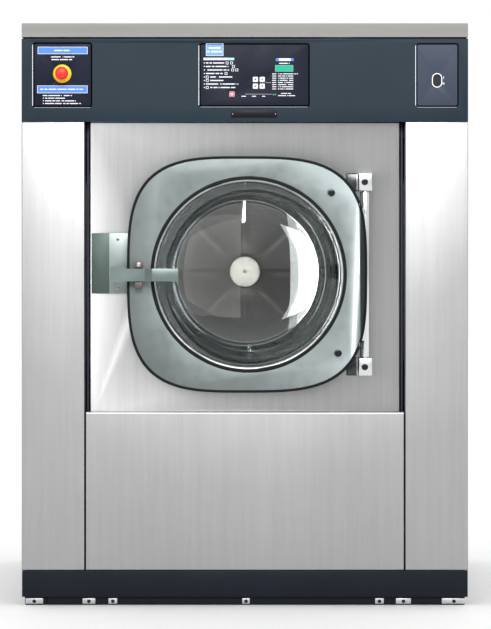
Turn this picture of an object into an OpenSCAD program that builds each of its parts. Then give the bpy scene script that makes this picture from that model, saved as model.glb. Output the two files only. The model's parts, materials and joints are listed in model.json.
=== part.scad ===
// Front-loading washer-extractor with a suspended tub, in millimetres.
// +X is to the right of someone facing the door, the front faces -Y, +Z is up.
// The origin is on the floor, at the centre of the four anchor holes.

/* [Cabinet] */
// Overall width of the cabinet
body_w = 1210; // [1180:5:1500]
// Overall depth of the cabinet, without the door and the rear spigots
body_d = 1200; // [1180:5:1500]
// Overall height of the cabinet
body_h = 1577; // [1560:1:1900]
// Thickness of the panel sheet
sheet = 2; // [1.5:0.5:3]
// Height of the top edge of the plinth
plinth_top = 94; // [80:1:120]
// Height of the floor gap under the plinth
plinth_gap = 22; // [10:1:40]
// Width of each front column
column_w = 170; // [120:1:200]
// Height of the top edge of the lower panel
lower_top = 523; // [480:1:540]
// Recess of the centre panel behind the columns
recess = 25; // [15:1:30]
// Shadow gap on each side of the centre panel
shadow_gap = 15; // [8:1:20]
// Height of the fascia that carries the controls
fascia_h = 225; // [200:1:260]
// Height of the front lip of the top panel
top_lip = 38; // [25:1:60]

/* [Door] */
// Distance of the door opening's axis to the right of the cabinet's centre
door_x = 10; // [-20:1:20]
// Height of the door opening's axis
door_z = 896; // [860:1:960]
// Radius of the opening in the door frame
glass_r = 265; // [230:1:270]
// Reach of the door outline to the left of its middle
door_left = 313; // [300:1:320]
// Reach of the door outline to the right of its middle
door_right = 334; // [320:1:340]
// Reach of the door outline above and below its middle
door_half_h = 318; // [300:1:330]
// Distance of the door face in front of the centre panel
door_proud = 65; // [60:1:80]
// Radius of the hinge tube
hinge_r = 14; // [12:0.5:16]
// Radius of the hinge pins
hinge_pin_r = 8; // [6:0.5:9]

/* [Drum] */
// Height of the drum's axis
drum_z = 904; // [880:1:940]
// Outer radius of the drum
drum_r = 457; // [400:1:465]
// Inside length of the drum
drum_len = 610; // [500:5:620]
// Number of lifters in the drum
lifter_count = 3; // [3:1:6]
// Outer radius of the tub
tub_r = 500; // [485:1:520]
// Radius of the mouth of the drum
mouth_r = 265; // [250:1:280]
// Radius of the drum shaft
shaft_r = 45; // [35:1:55]
// Rim radius of the pulley on the drum shaft
big_pulley_r = 230; // [180:1:260]
// Rim radius of the pulley on the motor
small_pulley_r = 60; // [45:1:80]
// Height of the motor's axis
motor_z = 225; // [215:1:230]
// Number of V-belts
belt_count = 3; // [1:1:4]

/* [Suspension] */
// Radius of the damper rods
rod_r = 12; // [8:0.5:14]
// Mean radius of the suspension coils
coil_r = 45; // [35:1:50]
// Radius of the spring wire
wire_r = 7; // [4:0.5:9]
// Number of turns in each spring
coil_turns = 7; // [5:1:9]

/* [Controls] */
// Radius of the emergency stop's mushroom head
stop_head_r = 17.5; // [14:0.5:20]
// Radius of the emergency stop's stem
stop_stem_r = 8; // [6:0.5:9]
// Width and height of a membrane key
key_size = 14.4; // [12:0.2:16]
// Distance between neighbouring membrane keys
key_pitch = 18.4; // [17:0.2:22]

/* [Services] */
// Outer radius of the drain pipe
drain_r = 37.5; // [30:0.5:50]
// Radius of the threads on the water inlets
inlet_r = 13.2; // [10:0.1:17]
// Outer radius of the vent spigot
vent_r = 40; // [30:1:50]
// Radius of the hole through the cable gland
gland_bore_r = 10; // [6:0.5:12]
// Radius of the anchor holes
anchor_r = 9; // [6:0.5:12]

/* [Hidden] */
$fn = 64;

// Clearances
running = 0.06;         // radial clearance of a shaft or pin in its bore
loose = 0.4;            // clearance of a sliding piece in its guide
seam = 1;               // visible seam between two cover panels
join = 0.2;             // gap between a shaped support and the shell it carries

// Cabinet
half_w = body_w / 2;
front = -body_d / 2;
back = body_d / 2;
fascia_top = body_h - top_lip - 4;
fascia_low = fascia_top - fascia_h;
panel_low = plinth_top + seam;
panel_high = fascia_low - seam;
centre_half = half_w - column_w;
centre_face = front + recess;
fold = 25;              // depth of a folded panel edge
frame_back = 8;         // set-back of the base frame behind the plinth
beam = 60;              // width of the base frame's beams
frame_x = half_w - frame_back;
frame_y = -front - frame_back;
post = 40;              // side of a square post
post_x = half_w - sheet - 3;
post_y = -front - 85;
inner_post = 7;         // width of the posts beside the centre panel
inner_post_y = centre_face + fold - 8;
rail_high = fascia_top - 5;

// Suspension
beam_y = [-350, 150];   // depth of the two cross beams
beam_half = 40;         // half the width of a cross beam of the cradle
base_beam_half = coil_r + 15;
spring_x = 430;
damper_x = 340;
cradle_low = 340;
cradle_high = min(400, drum_z - tub_r - 4);
rail_x = 300;
rail_half = 30;
saddle_x = 215;         // middle of each saddle plate under the tub
saddle_half = 85;
seat_h = 10;            // height of a spring seat
tube_top = 250;
rod_low = 150;

// Tub and drum
drum_front = front + 145;
drum_rear = drum_front + drum_len;
tub_front_y = front + 100;
front_plate = 6;
tub_rear_y = drum_rear + 35;
rear_plate = 12;
housing_r = 2 * shaft_r + 5;
bearing_outer = housing_r - 15;
housing_back = tub_rear_y + 185;
pulley_y = housing_back + 10;
pulley_w = 18 * belt_count + 2;
shaft_back = pulley_y + pulley_w + 5;
lifter_h = 88;
lifter_base = 130;
lifter_tip = 44;
drum_sheet = 3;
rib_count = 8;
hub_r = 49;
belt_w = 10;
belt_h = 9;
groove_w = 12;
groove_h = 10;

// Door
door_face = centre_face - door_proud;
door_depth = 48;
door_back = door_face + door_depth;
outline_x = door_x - 14;
outline_power = 3.4;    // squareness of the door outline
door_wall = 3;
face_cut = 313;         // where the face starts to fall away beside the hinge
hinge_x = outline_x + door_right - 4;
hinge_y = centre_face - 25;
hinge_block_z = 250;    // from the door's middle to the middle of a hinge block
hinge_block_h = 49;
hinge_block_w = 38;
flange_y = door_face + 6;
flange_t = 12;
flange_r = glass_r - 3;
ring_t = 8;             // thickness of the ring that clamps the glass
bowl_depth = 166;
bowl_r = glass_r - 65;
opening_r = glass_r + 7;
handle_x = outline_x - 281.5;
handle_y = door_face - 15;
handle_z = door_z - 1.5;
handle_h = 34;
strap_t = 5;
pivot_r = 4;
lock_right = outline_x - 286;
striker_x = outline_x - 288;
striker_w = 15;
bolt_t = 12;

// Controls
plate_t = 3;
plate_face = front + 2;
stop_x = -half_w + 110;
stop_z = fascia_top - 95;
stop_plate = [-half_w + 28.5, -half_w + 191.6, fascia_top - 187.5, fascia_top - 10];
show_plate = [-126, 176, fascia_top - 186, fascia_top - 12];
turn_plate = [half_w - 143.3, half_w - 25.2, fascia_top - 187, fascia_top - 12];
plate_corner = 8;
key_x = 37.8;
key_z = fascia_top - 119.6;
start_x = -35;
start_z = fascia_top - 150.4;
rocker_x = half_w - 84;
rocker_z = fascia_top - 113;
rocker_w = 19.5;
rocker_h = 31;
rocker_tilt = 7;
pivot_y = plate_face + 7;
rocker_pin_r = 2;
rocker_ear = 4;         // thickness of each ear that holds the rocker's pin

// Services
drain_x = -250;
drain_z = plinth_top + drain_r + 18;
drain_bore = drain_r - 3.5;
disc_y = beam_y[1];
disc_t = 5;
spindle_r = 4;
spindle_half = drain_r + 16;
spigot = 40;            // how far a rear spigot stands out of the rear panel
collar = 6;             // thickness of the collar that seats a spigot on the panel
inlet_x = [-350, -270];
service_z = fascia_top - 125;

module box(x0, x1, y0, y1, z0, z1) {
    translate([x0, y0, z0]) cube([x1 - x0, y1 - y0, z1 - z0]);
}

// A flat outline in X and Z, carried along Y
module along_y(y0, y1) {
    translate([0, y1, 0]) rotate([90, 0, 0]) linear_extrude(y1 - y0) children();
}

module rod_y(x, z, r, y0, y1) {
    translate([x, y1, z]) rotate([90, 0, 0]) cylinder(r = r, h = y1 - y0);
}

module rod_x(y, z, r, x0, x1) {
    translate([x0, y, z]) rotate([0, 90, 0]) cylinder(r = r, h = x1 - x0);
}

module rod_z(x, y, r, z0, z1) {
    translate([x, y, z0]) cylinder(r = r, h = z1 - z0);
}

// A profile of [radius, y] points, turned about an axis along Y
module turned(x, z, profile) {
    translate([x, 0, z]) rotate([-90, 0, 0]) rotate_extrude($fn = 96) polygon(profile);
}

module ring_y(x, z, inner, outer, y0, y1) {
    turned(x, z, [[inner, y0], [outer, y0], [outer, y1], [inner, y1]]);
}

// A rectangle with round corners, given by its left, right, lower and upper edges
module rounded(edges, r) {
    translate([edges[0] + r, edges[2]]) square([edges[1] - edges[0] - 2 * r, edges[3] - edges[2]]);
    translate([edges[0], edges[2] + r]) square([edges[1] - edges[0], edges[3] - edges[2] - 2 * r]);
    for (x = [edges[0] + r, edges[1] - r], z = [edges[2] + r, edges[3] - r])
        translate([x, z]) circle(r);
}

// A folded panel: a face at y with its four edges turned back
module tray(x0, x1, z0, z1, y, depth) {
    difference() {
        box(x0, x1, y, y + depth, z0, z1);
        box(x0 + sheet, x1 - sheet, y + sheet, y + depth + 1, z0 + sheet, z1 - sheet);
    }
}

// Base and covers

module anchor_positions() {
    for (x = [-1, 1], y = [-1, 1])
        translate([x * (frame_x - beam - 30), y * (frame_y - beam - 30)]) children();
}

// Two side beams with four beams bolted between them
module base_frame() {
    inner = frame_x - beam - join;
    color("#22272d") {
        for (x = [-frame_x, frame_x - beam]) box(x, x + beam, -frame_y, frame_y, 0, plinth_top);
        for (y = [-frame_y, frame_y - beam]) box(-inner, inner, y, y + beam, 0, plinth_top);
        for (y = beam_y) {
            box(-inner, inner, y - base_beam_half, y + base_beam_half, plinth_gap, plinth_top);
            for (x = [-spring_x, spring_x]) rod_z(x, y, coil_r + 12, plinth_top, plinth_top + seat_h);
        }
    }
}

// Middle and width of each zinc plate that shows under the plinth, from left to right
function foot_tabs() = [[-half_w + 34, 48], [-423, 35], [-358, 24], [3, 21], [365, 24], [430, 41],
                        [half_w - 38, 66]];

module anchor_feet() {
    color("#b9bcbc") {
        difference() {
            anchor_positions() box(-30, 30, -30, 30, 0, 8);
            anchor_positions() translate([0, 0, -1]) cylinder(r = anchor_r, h = 10);
        }
        for (tab = foot_tabs())
            box(tab[0] - tab[1] / 2, tab[0] + tab[1] / 2, -frame_y - 3, -frame_y, 3, 18);
    }
}

module plinth() {
    color("#262b30") difference() {
        box(-half_w + 1, half_w - 1, front, front + frame_back, plinth_gap, plinth_top);
        box(-half_w, half_w, front + sheet, front + frame_back + 1, plinth_gap + sheet, plinth_top - sheet);
    }
}

module front_columns() {
    color("#c8c8c9") for (side = [0, 1]) mirror([side, 0, 0]) difference() {
        box(-half_w, -half_w + column_w, front, front + 80, panel_low, panel_high);
        box(-half_w + sheet, -half_w + column_w - sheet, front + sheet, front + 81, panel_low - 1,
            panel_high + 1);
        box(-half_w + 2 * sheet, -half_w + column_w + 1, front + recess + 30, front + 81, panel_low - 1,
            panel_high + 1);
    }
}

module side_panels() {
    color("#bcbdbe") for (side = [0, 1]) mirror([side, 0, 0]) {
        box(-half_w, -half_w + sheet, front + 81, back - sheet - seam, panel_low, fascia_top);
        box(-half_w + sheet, -half_w + fold, back - 2 * sheet - seam, back - sheet - seam, panel_low,
            fascia_top);
    }
}

module centre_panel() {
    color("#d4d4d2") difference() {
        tray(-centre_half + shadow_gap, centre_half - shadow_gap, lower_top - fold, panel_high,
             centre_face, fold - 8);
        rod_y(door_x, door_z, opening_r, centre_face - 1, centre_face + sheet + 1);
        box(striker_x - striker_w / 2 - 6, striker_x + striker_w / 2 + 6, centre_face - 1,
            centre_face + sheet + 1, handle_z - 20, handle_z + 20);
    }
}

module lower_panel() {
    color("#b6b6b7") difference() {
        tray(-centre_half + 4, centre_half - 4, panel_low, lower_top, front, recess - 2);
        translate([0, front, lower_top]) rotate([45, 0, 0]) cube([body_w, 4, 4], center = true);
    }
}

module top_panel() {
    color("#a8a8a6") difference() {
        box(-half_w, half_w, front, back, body_h - top_lip, body_h);
        box(-half_w + sheet, half_w - sheet, front + sheet, back - sheet, body_h - top_lip - 1,
            body_h - sheet);
    }
}

module fascia() {
    color("#333d47") difference() {
        tray(-half_w, half_w, fascia_low, fascia_top, front, 78);
        along_y(front - 1, front + sheet + 1) for (window = [stop_plate, show_plate, turn_plate])
            rounded(window, plate_corner);
    }
}

module rear_panel() {
    color("#b0b2b3") difference() {
        union() {
            box(-half_w, half_w, back - sheet, back, panel_low, fascia_top);
            box(-360, 360, back, back + 3, drum_z - 330, drum_z + 330);
        }
        rod_y(drain_x, drain_z, drain_r + 2, back - 5, back + 5);
        for (x = inlet_x) rod_y(x, service_z, inlet_r + 2, back - 5, back + 5);
        rod_y(300, service_z, vent_r + 2, back - 5, back + 5);
        rod_y(450, service_z, gland_bore_r + 3, back - 5, back + 5);
    }
}

// Bolted frame that stands on the base and carries the covers: each member is its own solid
module portal_frame() {
    post_back = back - 2 * sheet - 5;
    rail_low = rail_high - post;
    inner_x = -centre_half + 4;
    link_low = panel_high - post;
    color("#3b4046") {
        for (side = [0, 1]) mirror([side, 0, 0]) {
            box(-post_x, -post_x + post, -post_y, -post_y + post, plinth_top, rail_high);
            box(-post_x, -post_x + post, post_back - post, post_back, plinth_top, rail_high);
            box(-post_x, -post_x + post, -post_y + post + join, post_back - post - join, rail_low, rail_high);
            box(inner_x, inner_x + inner_post, inner_post_y, -frame_y + beam, plinth_top, panel_high);
            box(-post_x, inner_x - join, inner_post_y + 13, -post_y - join, link_low, panel_high);
        }
        for (y = [-post_y, post_back - post])
            box(-post_x + post + join, post_x - post - join, y, y + post, rail_low, rail_high);
        box(inner_x + inner_post + join, -inner_x - inner_post - join, inner_post_y, -frame_y + beam,
            link_low, panel_high);
    }
}

module cabinet_screws() {
    color("#2b2b30") {
        for (side = [-1, 1])
            turned(hinge_x - 2, door_z + side * hinge_block_z,
                   [[0, hinge_y - 26], [9, hinge_y - 26], [9, hinge_y - 22], [0, hinge_y - 22]]);
        for (tab = foot_tabs()) rod_y(tab[0], 10, 5, -frame_y - 5, -frame_y - 3);
    }
}

module suspension_corners() {
    for (y = beam_y, x = [-1, 1]) translate([x * spring_x, y, 0]) children();
}

// Controls

module estop_plate() {
    color("#1b212d") difference() {
        along_y(plate_face, plate_face + plate_t) rounded(stop_plate, plate_corner);
        rod_y(stop_x, stop_z, stop_stem_r + 2, plate_face - 1, plate_face + plate_t + 1);
    }
}

module estop_collar() {
    color("#d9a514") turned(stop_x, stop_z, [
        [stop_stem_r + running, plate_face - 8], [20, plate_face - 8], [25, plate_face - 2],
        [25, plate_face], [stop_stem_r + running, plate_face]]);
}

module estop_stem() {
    color("#26262a") rod_y(stop_x, stop_z, stop_stem_r, plate_face - 30, plate_face + 12);
}

// The dome of the head is an arc of a circle about its middle
module estop_head() {
    dome = 12;
    head_front = plate_face - 39;
    color("#cc2b1f") difference() {
        turned(stop_x, stop_z, concat(
            [for (a = [0:15:90]) [stop_head_r * sin(a), head_front + dome * (1 - cos(a))]],
            [[stop_head_r, head_front + 18], [stop_stem_r + 5, head_front + 22], [0, head_front + 22]]));
        rod_y(stop_x, stop_z, stop_stem_r + running, plate_face - 30, plate_face);
    }
}

module key_places() {
    for (x = [-1, 1], z = [-1, 1]) translate([key_x + x * key_pitch / 2, 0, key_z + z * key_pitch / 2])
        children();
}

module key_body(x, z, shade) {
    color(shade) box(x - key_size / 2, x + key_size / 2, plate_face - 1.5, plate_face + 6,
                     z - key_size / 2, z + key_size / 2);
}

module key_hole() {
    side = key_size / 2 + loose;
    box(-side, side, plate_face - 1, plate_face + plate_t + 1, -side, side);
}

module display_plate() {
    color("#262c3e") difference() {
        along_y(plate_face, plate_face + plate_t) rounded(show_plate, plate_corner);
        key_places() key_hole();
        translate([start_x, 0, start_z]) key_hole();
    }
}

module switch_plate() {
    ear = rocker_w / 2 + 1.5;
    color("#3d4350") difference() {
        union() {
            along_y(plate_face, plate_face + plate_t) rounded(turn_plate, plate_corner);
            for (x = [rocker_x - ear - rocker_ear, rocker_x + ear])
                box(x, x + rocker_ear, plate_face + plate_t, pivot_y + 5, rocker_z - 5, rocker_z + 5);
        }
        rocker_outline(plate_face - 1, plate_face + plate_t + 1, 1.5);
        rod_x(pivot_y, rocker_z, rocker_pin_r + running, rocker_x - ear - rocker_ear - 1,
              rocker_x + ear + rocker_ear + 1);
    }
}

// An upright oval: a rectangle between two half circles
module rocker_outline(y0, y1, extra) {
    r = rocker_w / 2;
    straight = rocker_h / 2 - r;
    for (z = [-straight, straight]) rod_y(rocker_x, rocker_z + z, r + extra, y0, y1);
    box(rocker_x - r - extra, rocker_x + r + extra, y0, y1, rocker_z - straight, rocker_z + straight);
}

module power_rocker() {
    pin_half = rocker_w / 2 + 1.5 + rocker_ear;
    color("#17181c") translate([0, pivot_y, rocker_z]) rotate([rocker_tilt, 0, 0])
        translate([0, -pivot_y, -rocker_z]) {
            rocker_outline(plate_face - 4, plate_face + 10, 0);
            rod_x(pivot_y, rocker_z, rocker_pin_r, rocker_x - pin_half, rocker_x + pin_half);
        }
}

module name_plate() {
    color("#15161a") box(-37, 87, front - 1, front, fascia_low + 11, fascia_low + 30.6);
}

module control_unit() {
    board_y = plate_face + 10;
    color("#2f6b43") {
        box(show_plate[0] + 12, show_plate[1] - 12, board_y, board_y + 2, show_plate[2] + 10,
            show_plate[3] - 10);
        for (x = [show_plate[0] + 20, show_plate[1] - 20], z = [show_plate[2] + 18, show_plate[3] - 18])
            rod_y(x, z, 3, plate_face + plate_t, board_y);
        box(200, 420, -post_y + post, -post_y + post + 180, fascia_top - 95, fascia_top - 10);
    }
}

// Services at the rear

module inlet_valves() {
    color("#c9b27a") for (x = inlet_x) difference() {
        union() {
            rod_y(x, service_z, inlet_r, back - 30, back + spigot);
            rod_y(x, service_z, inlet_r + 6, back, back + collar);
            box(x - 28, x + 28, back - 100, back - 30, service_z - 28, service_z + 28);
            box(x - 28, x + 28, back - 30, back - sheet, service_z - 30, service_z - 24);
        }
        rod_y(x, service_z, inlet_r - 4, back - 60, back + spigot + 1);
    }
}

module drain_pipe() {
    color("#8d9296") difference() {
        union() {
            rod_y(drain_x, drain_z, drain_r, disc_y - 120, back + spigot);
            rod_y(drain_x, drain_z, drain_r + 10, disc_y - 40, disc_y + 40);
            rod_y(drain_x, drain_z, drain_r + 9, back, back + collar);
            rod_z(drain_x, disc_y - 80, drain_r, drain_z, drain_z + 110);
            box(drain_x - 30, drain_x + 30, disc_y - 30, disc_y + 30, plinth_top, drain_z - drain_r);
        }
        rod_y(drain_x, drain_z, drain_bore, disc_y - 116, back + spigot + 1);
        rod_z(drain_x, disc_y - 80, drain_bore - 1, drain_z, drain_z + 111);
        rod_x(disc_y, drain_z, spindle_r + running, drain_x - spindle_half, drain_x + spindle_half);
    }
}

module drain_disc() {
    color("#c0c2c4") {
        rod_y(drain_x, drain_z, drain_bore - 0.7, disc_y - disc_t / 2, disc_y + disc_t / 2);
        rod_x(disc_y, drain_z, spindle_r, drain_x - spindle_half, drain_x + spindle_half);
    }
}

module rear_fittings() {
    color("#4a4d52") difference() {
        union() {
            rod_y(300, service_z, vent_r, back - 60, back + spigot);
            rod_y(300, service_z, vent_r + 12, back, back + 4);
            rod_y(450, service_z, gland_bore_r + 3, back - 20, back + 28);
            rod_y(450, service_z, gland_bore_r + 10, back, back + 14);
        }
        rod_y(300, service_z, vent_r - 3, back - 61, back + spigot + 1);
        rod_y(450, service_z, gland_bore_r, back - 21, back + 29);
    }
}

// Suspension

// One ring of points round the wire, at a turn angle along the coil
function wire_ring(angle, rise, sides) = [for (s = [0:sides - 1])
    let (a = 360 * s / sides, r = coil_r + wire_r * cos(a))
    [r * cos(angle), r * sin(angle), rise + wire_r * sin(a)]];

module coil(low, high) {
    sides = 6;
    steps = coil_turns * 12;
    climb = high - low - 2 * wire_r;
    rings = [for (i = [0:steps]) each wire_ring(i * 30, low + wire_r + climb * i / steps, sides)];
    sleeve = [for (i = [0:steps - 1], s = [0:sides - 1])
        [i * sides + s, (i + 1) * sides + s, (i + 1) * sides + (s + 1) % sides, i * sides + (s + 1) % sides]];
    near_end = [for (s = [0:sides - 1]) s];
    far_end = [for (s = [sides - 1:-1:0]) steps * sides + s];
    polyhedron(rings, concat(sleeve, [near_end, far_end]));
}

module suspension_springs() {
    color("#9a3a2c") suspension_corners() coil(plinth_top + seat_h + 0.2, cradle_low - 0.2);
}

module damper_places() {
    for (y = beam_y, x = [-damper_x, damper_x]) translate([x, y, 0]) children();
}

module damper_tubes() {
    color("#2d3034") damper_places() difference() {
        translate([0, 0, plinth_top]) cylinder(r = rod_r + 10, h = tube_top - plinth_top);
        translate([0, 0, plinth_top + 20]) cylinder(r = rod_r + running, h = tube_top - plinth_top);
    }
}

module damper_rods() {
    color("#c6c8ca") damper_places() translate([0, 0, rod_low]) cylinder(r = rod_r, h = cradle_low - rod_low);
}

module tub_cradle() {
    color("#3f454c") {
        for (y = beam_y) {
            box(-spring_x - 40, spring_x + 40, y - beam_half, y + beam_half, cradle_low, cradle_high);
            difference() {
                for (side = [-1, 1]) translate([side * saddle_x, 0, 0])
                    box(-saddle_half, saddle_half, y - 10, y + 10, cradle_high, drum_z - tub_r * 0.83);
                rod_y(0, drum_z, tub_r + join, y - 11, y + 11);
            }
        }
        for (x = [-rail_x, rail_x])
            box(x - rail_half, x + rail_half, beam_y[0], pulley_y - 40, cradle_low, cradle_high);
        box(-rail_x, rail_x, pulley_y - 80, pulley_y - 40, cradle_low, cradle_high);
        box(-110, 110, beam_y[1] - beam_half, pulley_y - 40, cradle_low - 8, cradle_low);
    }
}

// Tub, drum and drive

module tub_shell() {
    color("#a9adb0") turned(0, drum_z, [
        [tub_r - 4, tub_front_y + front_plate], [tub_r, tub_front_y + front_plate],
        [tub_r, tub_rear_y + rear_plate], [housing_r + join, tub_rear_y + rear_plate],
        [housing_r + join, tub_rear_y], [tub_r - 4, tub_rear_y]]);
}

module tub_front() {
    color("#a2a6a9") turned(0, drum_z, [
        [mouth_r - 3, tub_front_y - 18], [mouth_r + 3, tub_front_y - 18], [mouth_r + 3, tub_front_y],
        [tub_r, tub_front_y], [tub_r, tub_front_y + front_plate], [mouth_r - 3, tub_front_y + front_plate]]);
}

// The boot bridges the offset between the door opening and the tub's mouth
module door_bellows() {
    near_y = centre_face + sheet + 0.5;
    far_y = tub_front_y - 18.5;
    mid = (near_y + far_y) / 2;
    color("#33363a") {
        ring_y(door_x, door_z, glass_r - 5, glass_r + 25, near_y, near_y + 9);
        ring_y(door_x * 0.66, door_z + (drum_z - door_z) * 0.33, glass_r + 2, glass_r + 22, near_y + 9, mid);
        ring_y(door_x * 0.33, door_z + (drum_z - door_z) * 0.66, glass_r - 6, glass_r + 22, mid, far_y - 8);
        ring_y(0, drum_z, mouth_r - 3, mouth_r + 20, far_y - 8, far_y);
    }
}

module bearing_housing() {
    color("#6d7278") difference() {
        union() {
            rod_y(0, drum_z, housing_r, tub_rear_y - 10, housing_back);
            rod_y(0, drum_z, housing_r + 65, tub_rear_y + rear_plate, tub_rear_y + rear_plate + 14);
        }
        rod_y(0, drum_z, bearing_outer, tub_rear_y - 11, housing_back + 1);
    }
}

module bearings() {
    color("#cfd1d2") for (y = [tub_rear_y + 10, housing_back - 45])
        ring_y(0, drum_z, shaft_r + running, bearing_outer - 0.05, y, y + 40);
}

module motor_body() {
    motor_back = pulley_y - 25;
    color("#4d5a66") difference() {
        union() {
            rod_y(0, motor_z, 95, motor_back - 285, motor_back);
            box(-75, 75, motor_back - 250, motor_back - 40, motor_z, cradle_low - 8);
        }
        rod_y(0, motor_z, 19 + running, motor_back - 25, motor_back + 1);
    }
}

function groove_start(i) = pulley_y + 4 + 18 * i;

// Rim with square grooves; the profile runs from the bore outwards
module pulley(z, r, bore, hub, web) {
    difference() {
        union() {
            ring_y(0, z, bore, hub, pulley_y, pulley_y + pulley_w);
            ring_y(0, z, bore, r - 20, pulley_y + web, pulley_y + pulley_w - web);
            ring_y(0, z, r - 24, r, pulley_y, pulley_y + pulley_w);
        }
        for (i = [0:belt_count - 1])
            ring_y(0, z, r - groove_h, r + 1, groove_start(i), groove_start(i) + groove_w);
    }
}

module drum_pulley() {
    color("#3a3d42") difference() {
        pulley(drum_z, big_pulley_r, shaft_r, shaft_r + 25, 20);
        for (a = [0:60:300])
            rod_y((big_pulley_r + shaft_r) / 2 * cos(a), drum_z + (big_pulley_r + shaft_r) / 2 * sin(a), 38,
                  pulley_y - 1, pulley_y + pulley_w + 1);
    }
}

module motor_pulley() {
    color("#3a3d42") {
        rod_y(0, motor_z, 19, pulley_y - 45, pulley_y + pulley_w);
        pulley(motor_z, small_pulley_r, 18, small_pulley_r - 20, 2);
    }
}

// Outline of a belt round both pulleys: two circles and the band between their tangent points
module belt_outline(extra) {
    big = big_pulley_r - belt_h + extra;
    small = small_pulley_r - belt_h + extra;
    lean = asin((big - small) / (drum_z - motor_z));
    translate([0, drum_z]) circle(big);
    translate([0, motor_z]) circle(small);
    polygon([[big * cos(lean), drum_z - big * sin(lean)], [small * cos(lean), motor_z - small * sin(lean)],
             [-small * cos(lean), motor_z - small * sin(lean)], [-big * cos(lean), drum_z - big * sin(lean)]]);
}

module v_belts() {
    color("#1d1e20") for (i = [0:belt_count - 1]) {
        start = groove_start(i) + (groove_w - belt_w) / 2;
        along_y(start, start + belt_w) difference() {
            belt_outline(belt_h);
            belt_outline(0);
        }
    }
}

module drum_shell() {
    lip = 10;
    color("#c9cccd") turned(0, drum_z, [
        [drum_r - drum_sheet, drum_front + drum_sheet], [drum_r, drum_front], [drum_r, drum_rear],
        [drum_r - drum_sheet, drum_rear]]);
    color("#c9cccd") turned(0, drum_z, [
        [mouth_r - 3, drum_front - lip], [mouth_r + 3, drum_front - lip], [mouth_r + 3, drum_front],
        [drum_r, drum_front], [drum_r, drum_front + drum_sheet], [mouth_r - 3, drum_front + drum_sheet]]);
}

module drum_back() {
    rib_w = 16;
    rib_h = 9;
    color("#bfc3c4") {
        difference() {
            rod_y(0, drum_z, drum_r - drum_sheet, drum_rear - 5, drum_rear);
            rod_y(0, drum_z, 20, drum_rear - 6, drum_rear + 1);
        }
        for (i = [0:rib_count - 1]) translate([0, 0, drum_z]) rotate([0, 360 / rib_count * i, 0])
            box(hub_r + 12, drum_r - 32, drum_rear - 5 - rib_h, drum_rear - 5, -rib_w / 2, rib_w / 2);
    }
}

module lifters() {
    base_r = drum_r - drum_sheet - 6;
    color("#c2c6c7") for (i = [0:lifter_count - 1])
        translate([0, 0, drum_z]) rotate([0, 360 / lifter_count * i, 0]) along_y(drum_front + 10, drum_rear - 18)
            polygon([[-lifter_base / 2, base_r], [lifter_base / 2, base_r],
                     [lifter_tip / 2, base_r - lifter_h * 0.9], [lifter_tip / 4, base_r - lifter_h],
                     [-lifter_tip / 4, base_r - lifter_h], [-lifter_tip / 2, base_r - lifter_h * 0.9]]);
}

module drum_shaft() {
    color("#a7abae") {
        rod_y(0, drum_z, shaft_r, drum_rear, shaft_back);
        rod_y(0, drum_z, 110, drum_rear, drum_rear + 14);
        rod_y(0, drum_z, 19.5, drum_rear - 12, drum_rear);
    }
}

module hub_cap() {
    seat = drum_rear - 5;
    color("#b8b8a8") difference() {
        turned(0, drum_z, [[0, seat - 34], [hub_r - 7, seat - 32], [hub_r, seat - 24], [hub_r, seat],
                           [0, seat]]);
        rod_y(0, drum_z, 20, seat - 12, seat + 1);
    }
}

// Door

// Superellipse with its own reach to each side, as [x, z] points
function door_outline(inset) = [for (i = [0:119])
    let (a = 3 * i, c = cos(a), s = sin(a), reach = (c < 0 ? door_left : door_right) - inset)
    [reach * sign(c) * pow(abs(c), 2 / outline_power),
     (door_half_h - inset) * sign(s) * pow(abs(s), 2 / outline_power)]];

module outline_block(inset, y0, y1) {
    along_y(y0, y1) translate([outline_x, door_z]) polygon(door_outline(inset));
}

// The wedge that falls away from the face towards the hinge
module face_bevel(inset) {
    x = outline_x + face_cut - inset;
    translate([0, 0, door_z - door_half_h - 1]) linear_extrude(2 * door_half_h + 2)
        polygon([[x, door_face - 1], [x, door_face], [x + 30, door_face + 30], [x + 60, door_face + 30],
                 [x + 60, door_face - 1]]);
}

module door_frame() {
    color("#aebab9") difference() {
        outline_block(0, door_face, door_back);
        face_bevel(0);
        difference() {
            outline_block(door_wall, door_face + door_wall, door_back + 1);
            face_bevel(door_wall);
            rod_y(door_x, door_z, glass_r + 3, door_face, flange_y + flange_t);
        }
        rod_y(door_x, door_z, glass_r, door_face - 1, door_back + 1);
        box(hinge_x - hinge_r - 8, half_w, hinge_y - hinge_r - 3, 0, 0, body_h);
    }
}

module door_glass() {
    rim_back = flange_y + flange_t;
    bottom = door_face + bowl_depth;
    color("#9fb0b5", 0.4) turned(door_x, door_z, [
        [flange_r - 22, flange_y], [flange_r, flange_y], [flange_r, rim_back], [flange_r - 14, rim_back],
        [bowl_r + 10, bottom - 14], [bowl_r, bottom - 3], [0, bottom + 4], [0, bottom - 6],
        [bowl_r - 6, bottom - 12], [bowl_r, bottom - 18]]);
}

module door_ring() {
    color("#8f9595") ring_y(door_x, door_z, flange_r - 10, glass_r + 11, flange_y + flange_t,
                            flange_y + flange_t + ring_t);
}

module door_seal() {
    rim_back = flange_y + flange_t;
    color("#141618") turned(door_x, door_z, [
        [flange_r - 7, door_face + 2], [glass_r, door_face + 2], [glass_r, rim_back], [flange_r, rim_back],
        [flange_r, flange_y], [flange_r - 7, flange_y]]);
}

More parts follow.
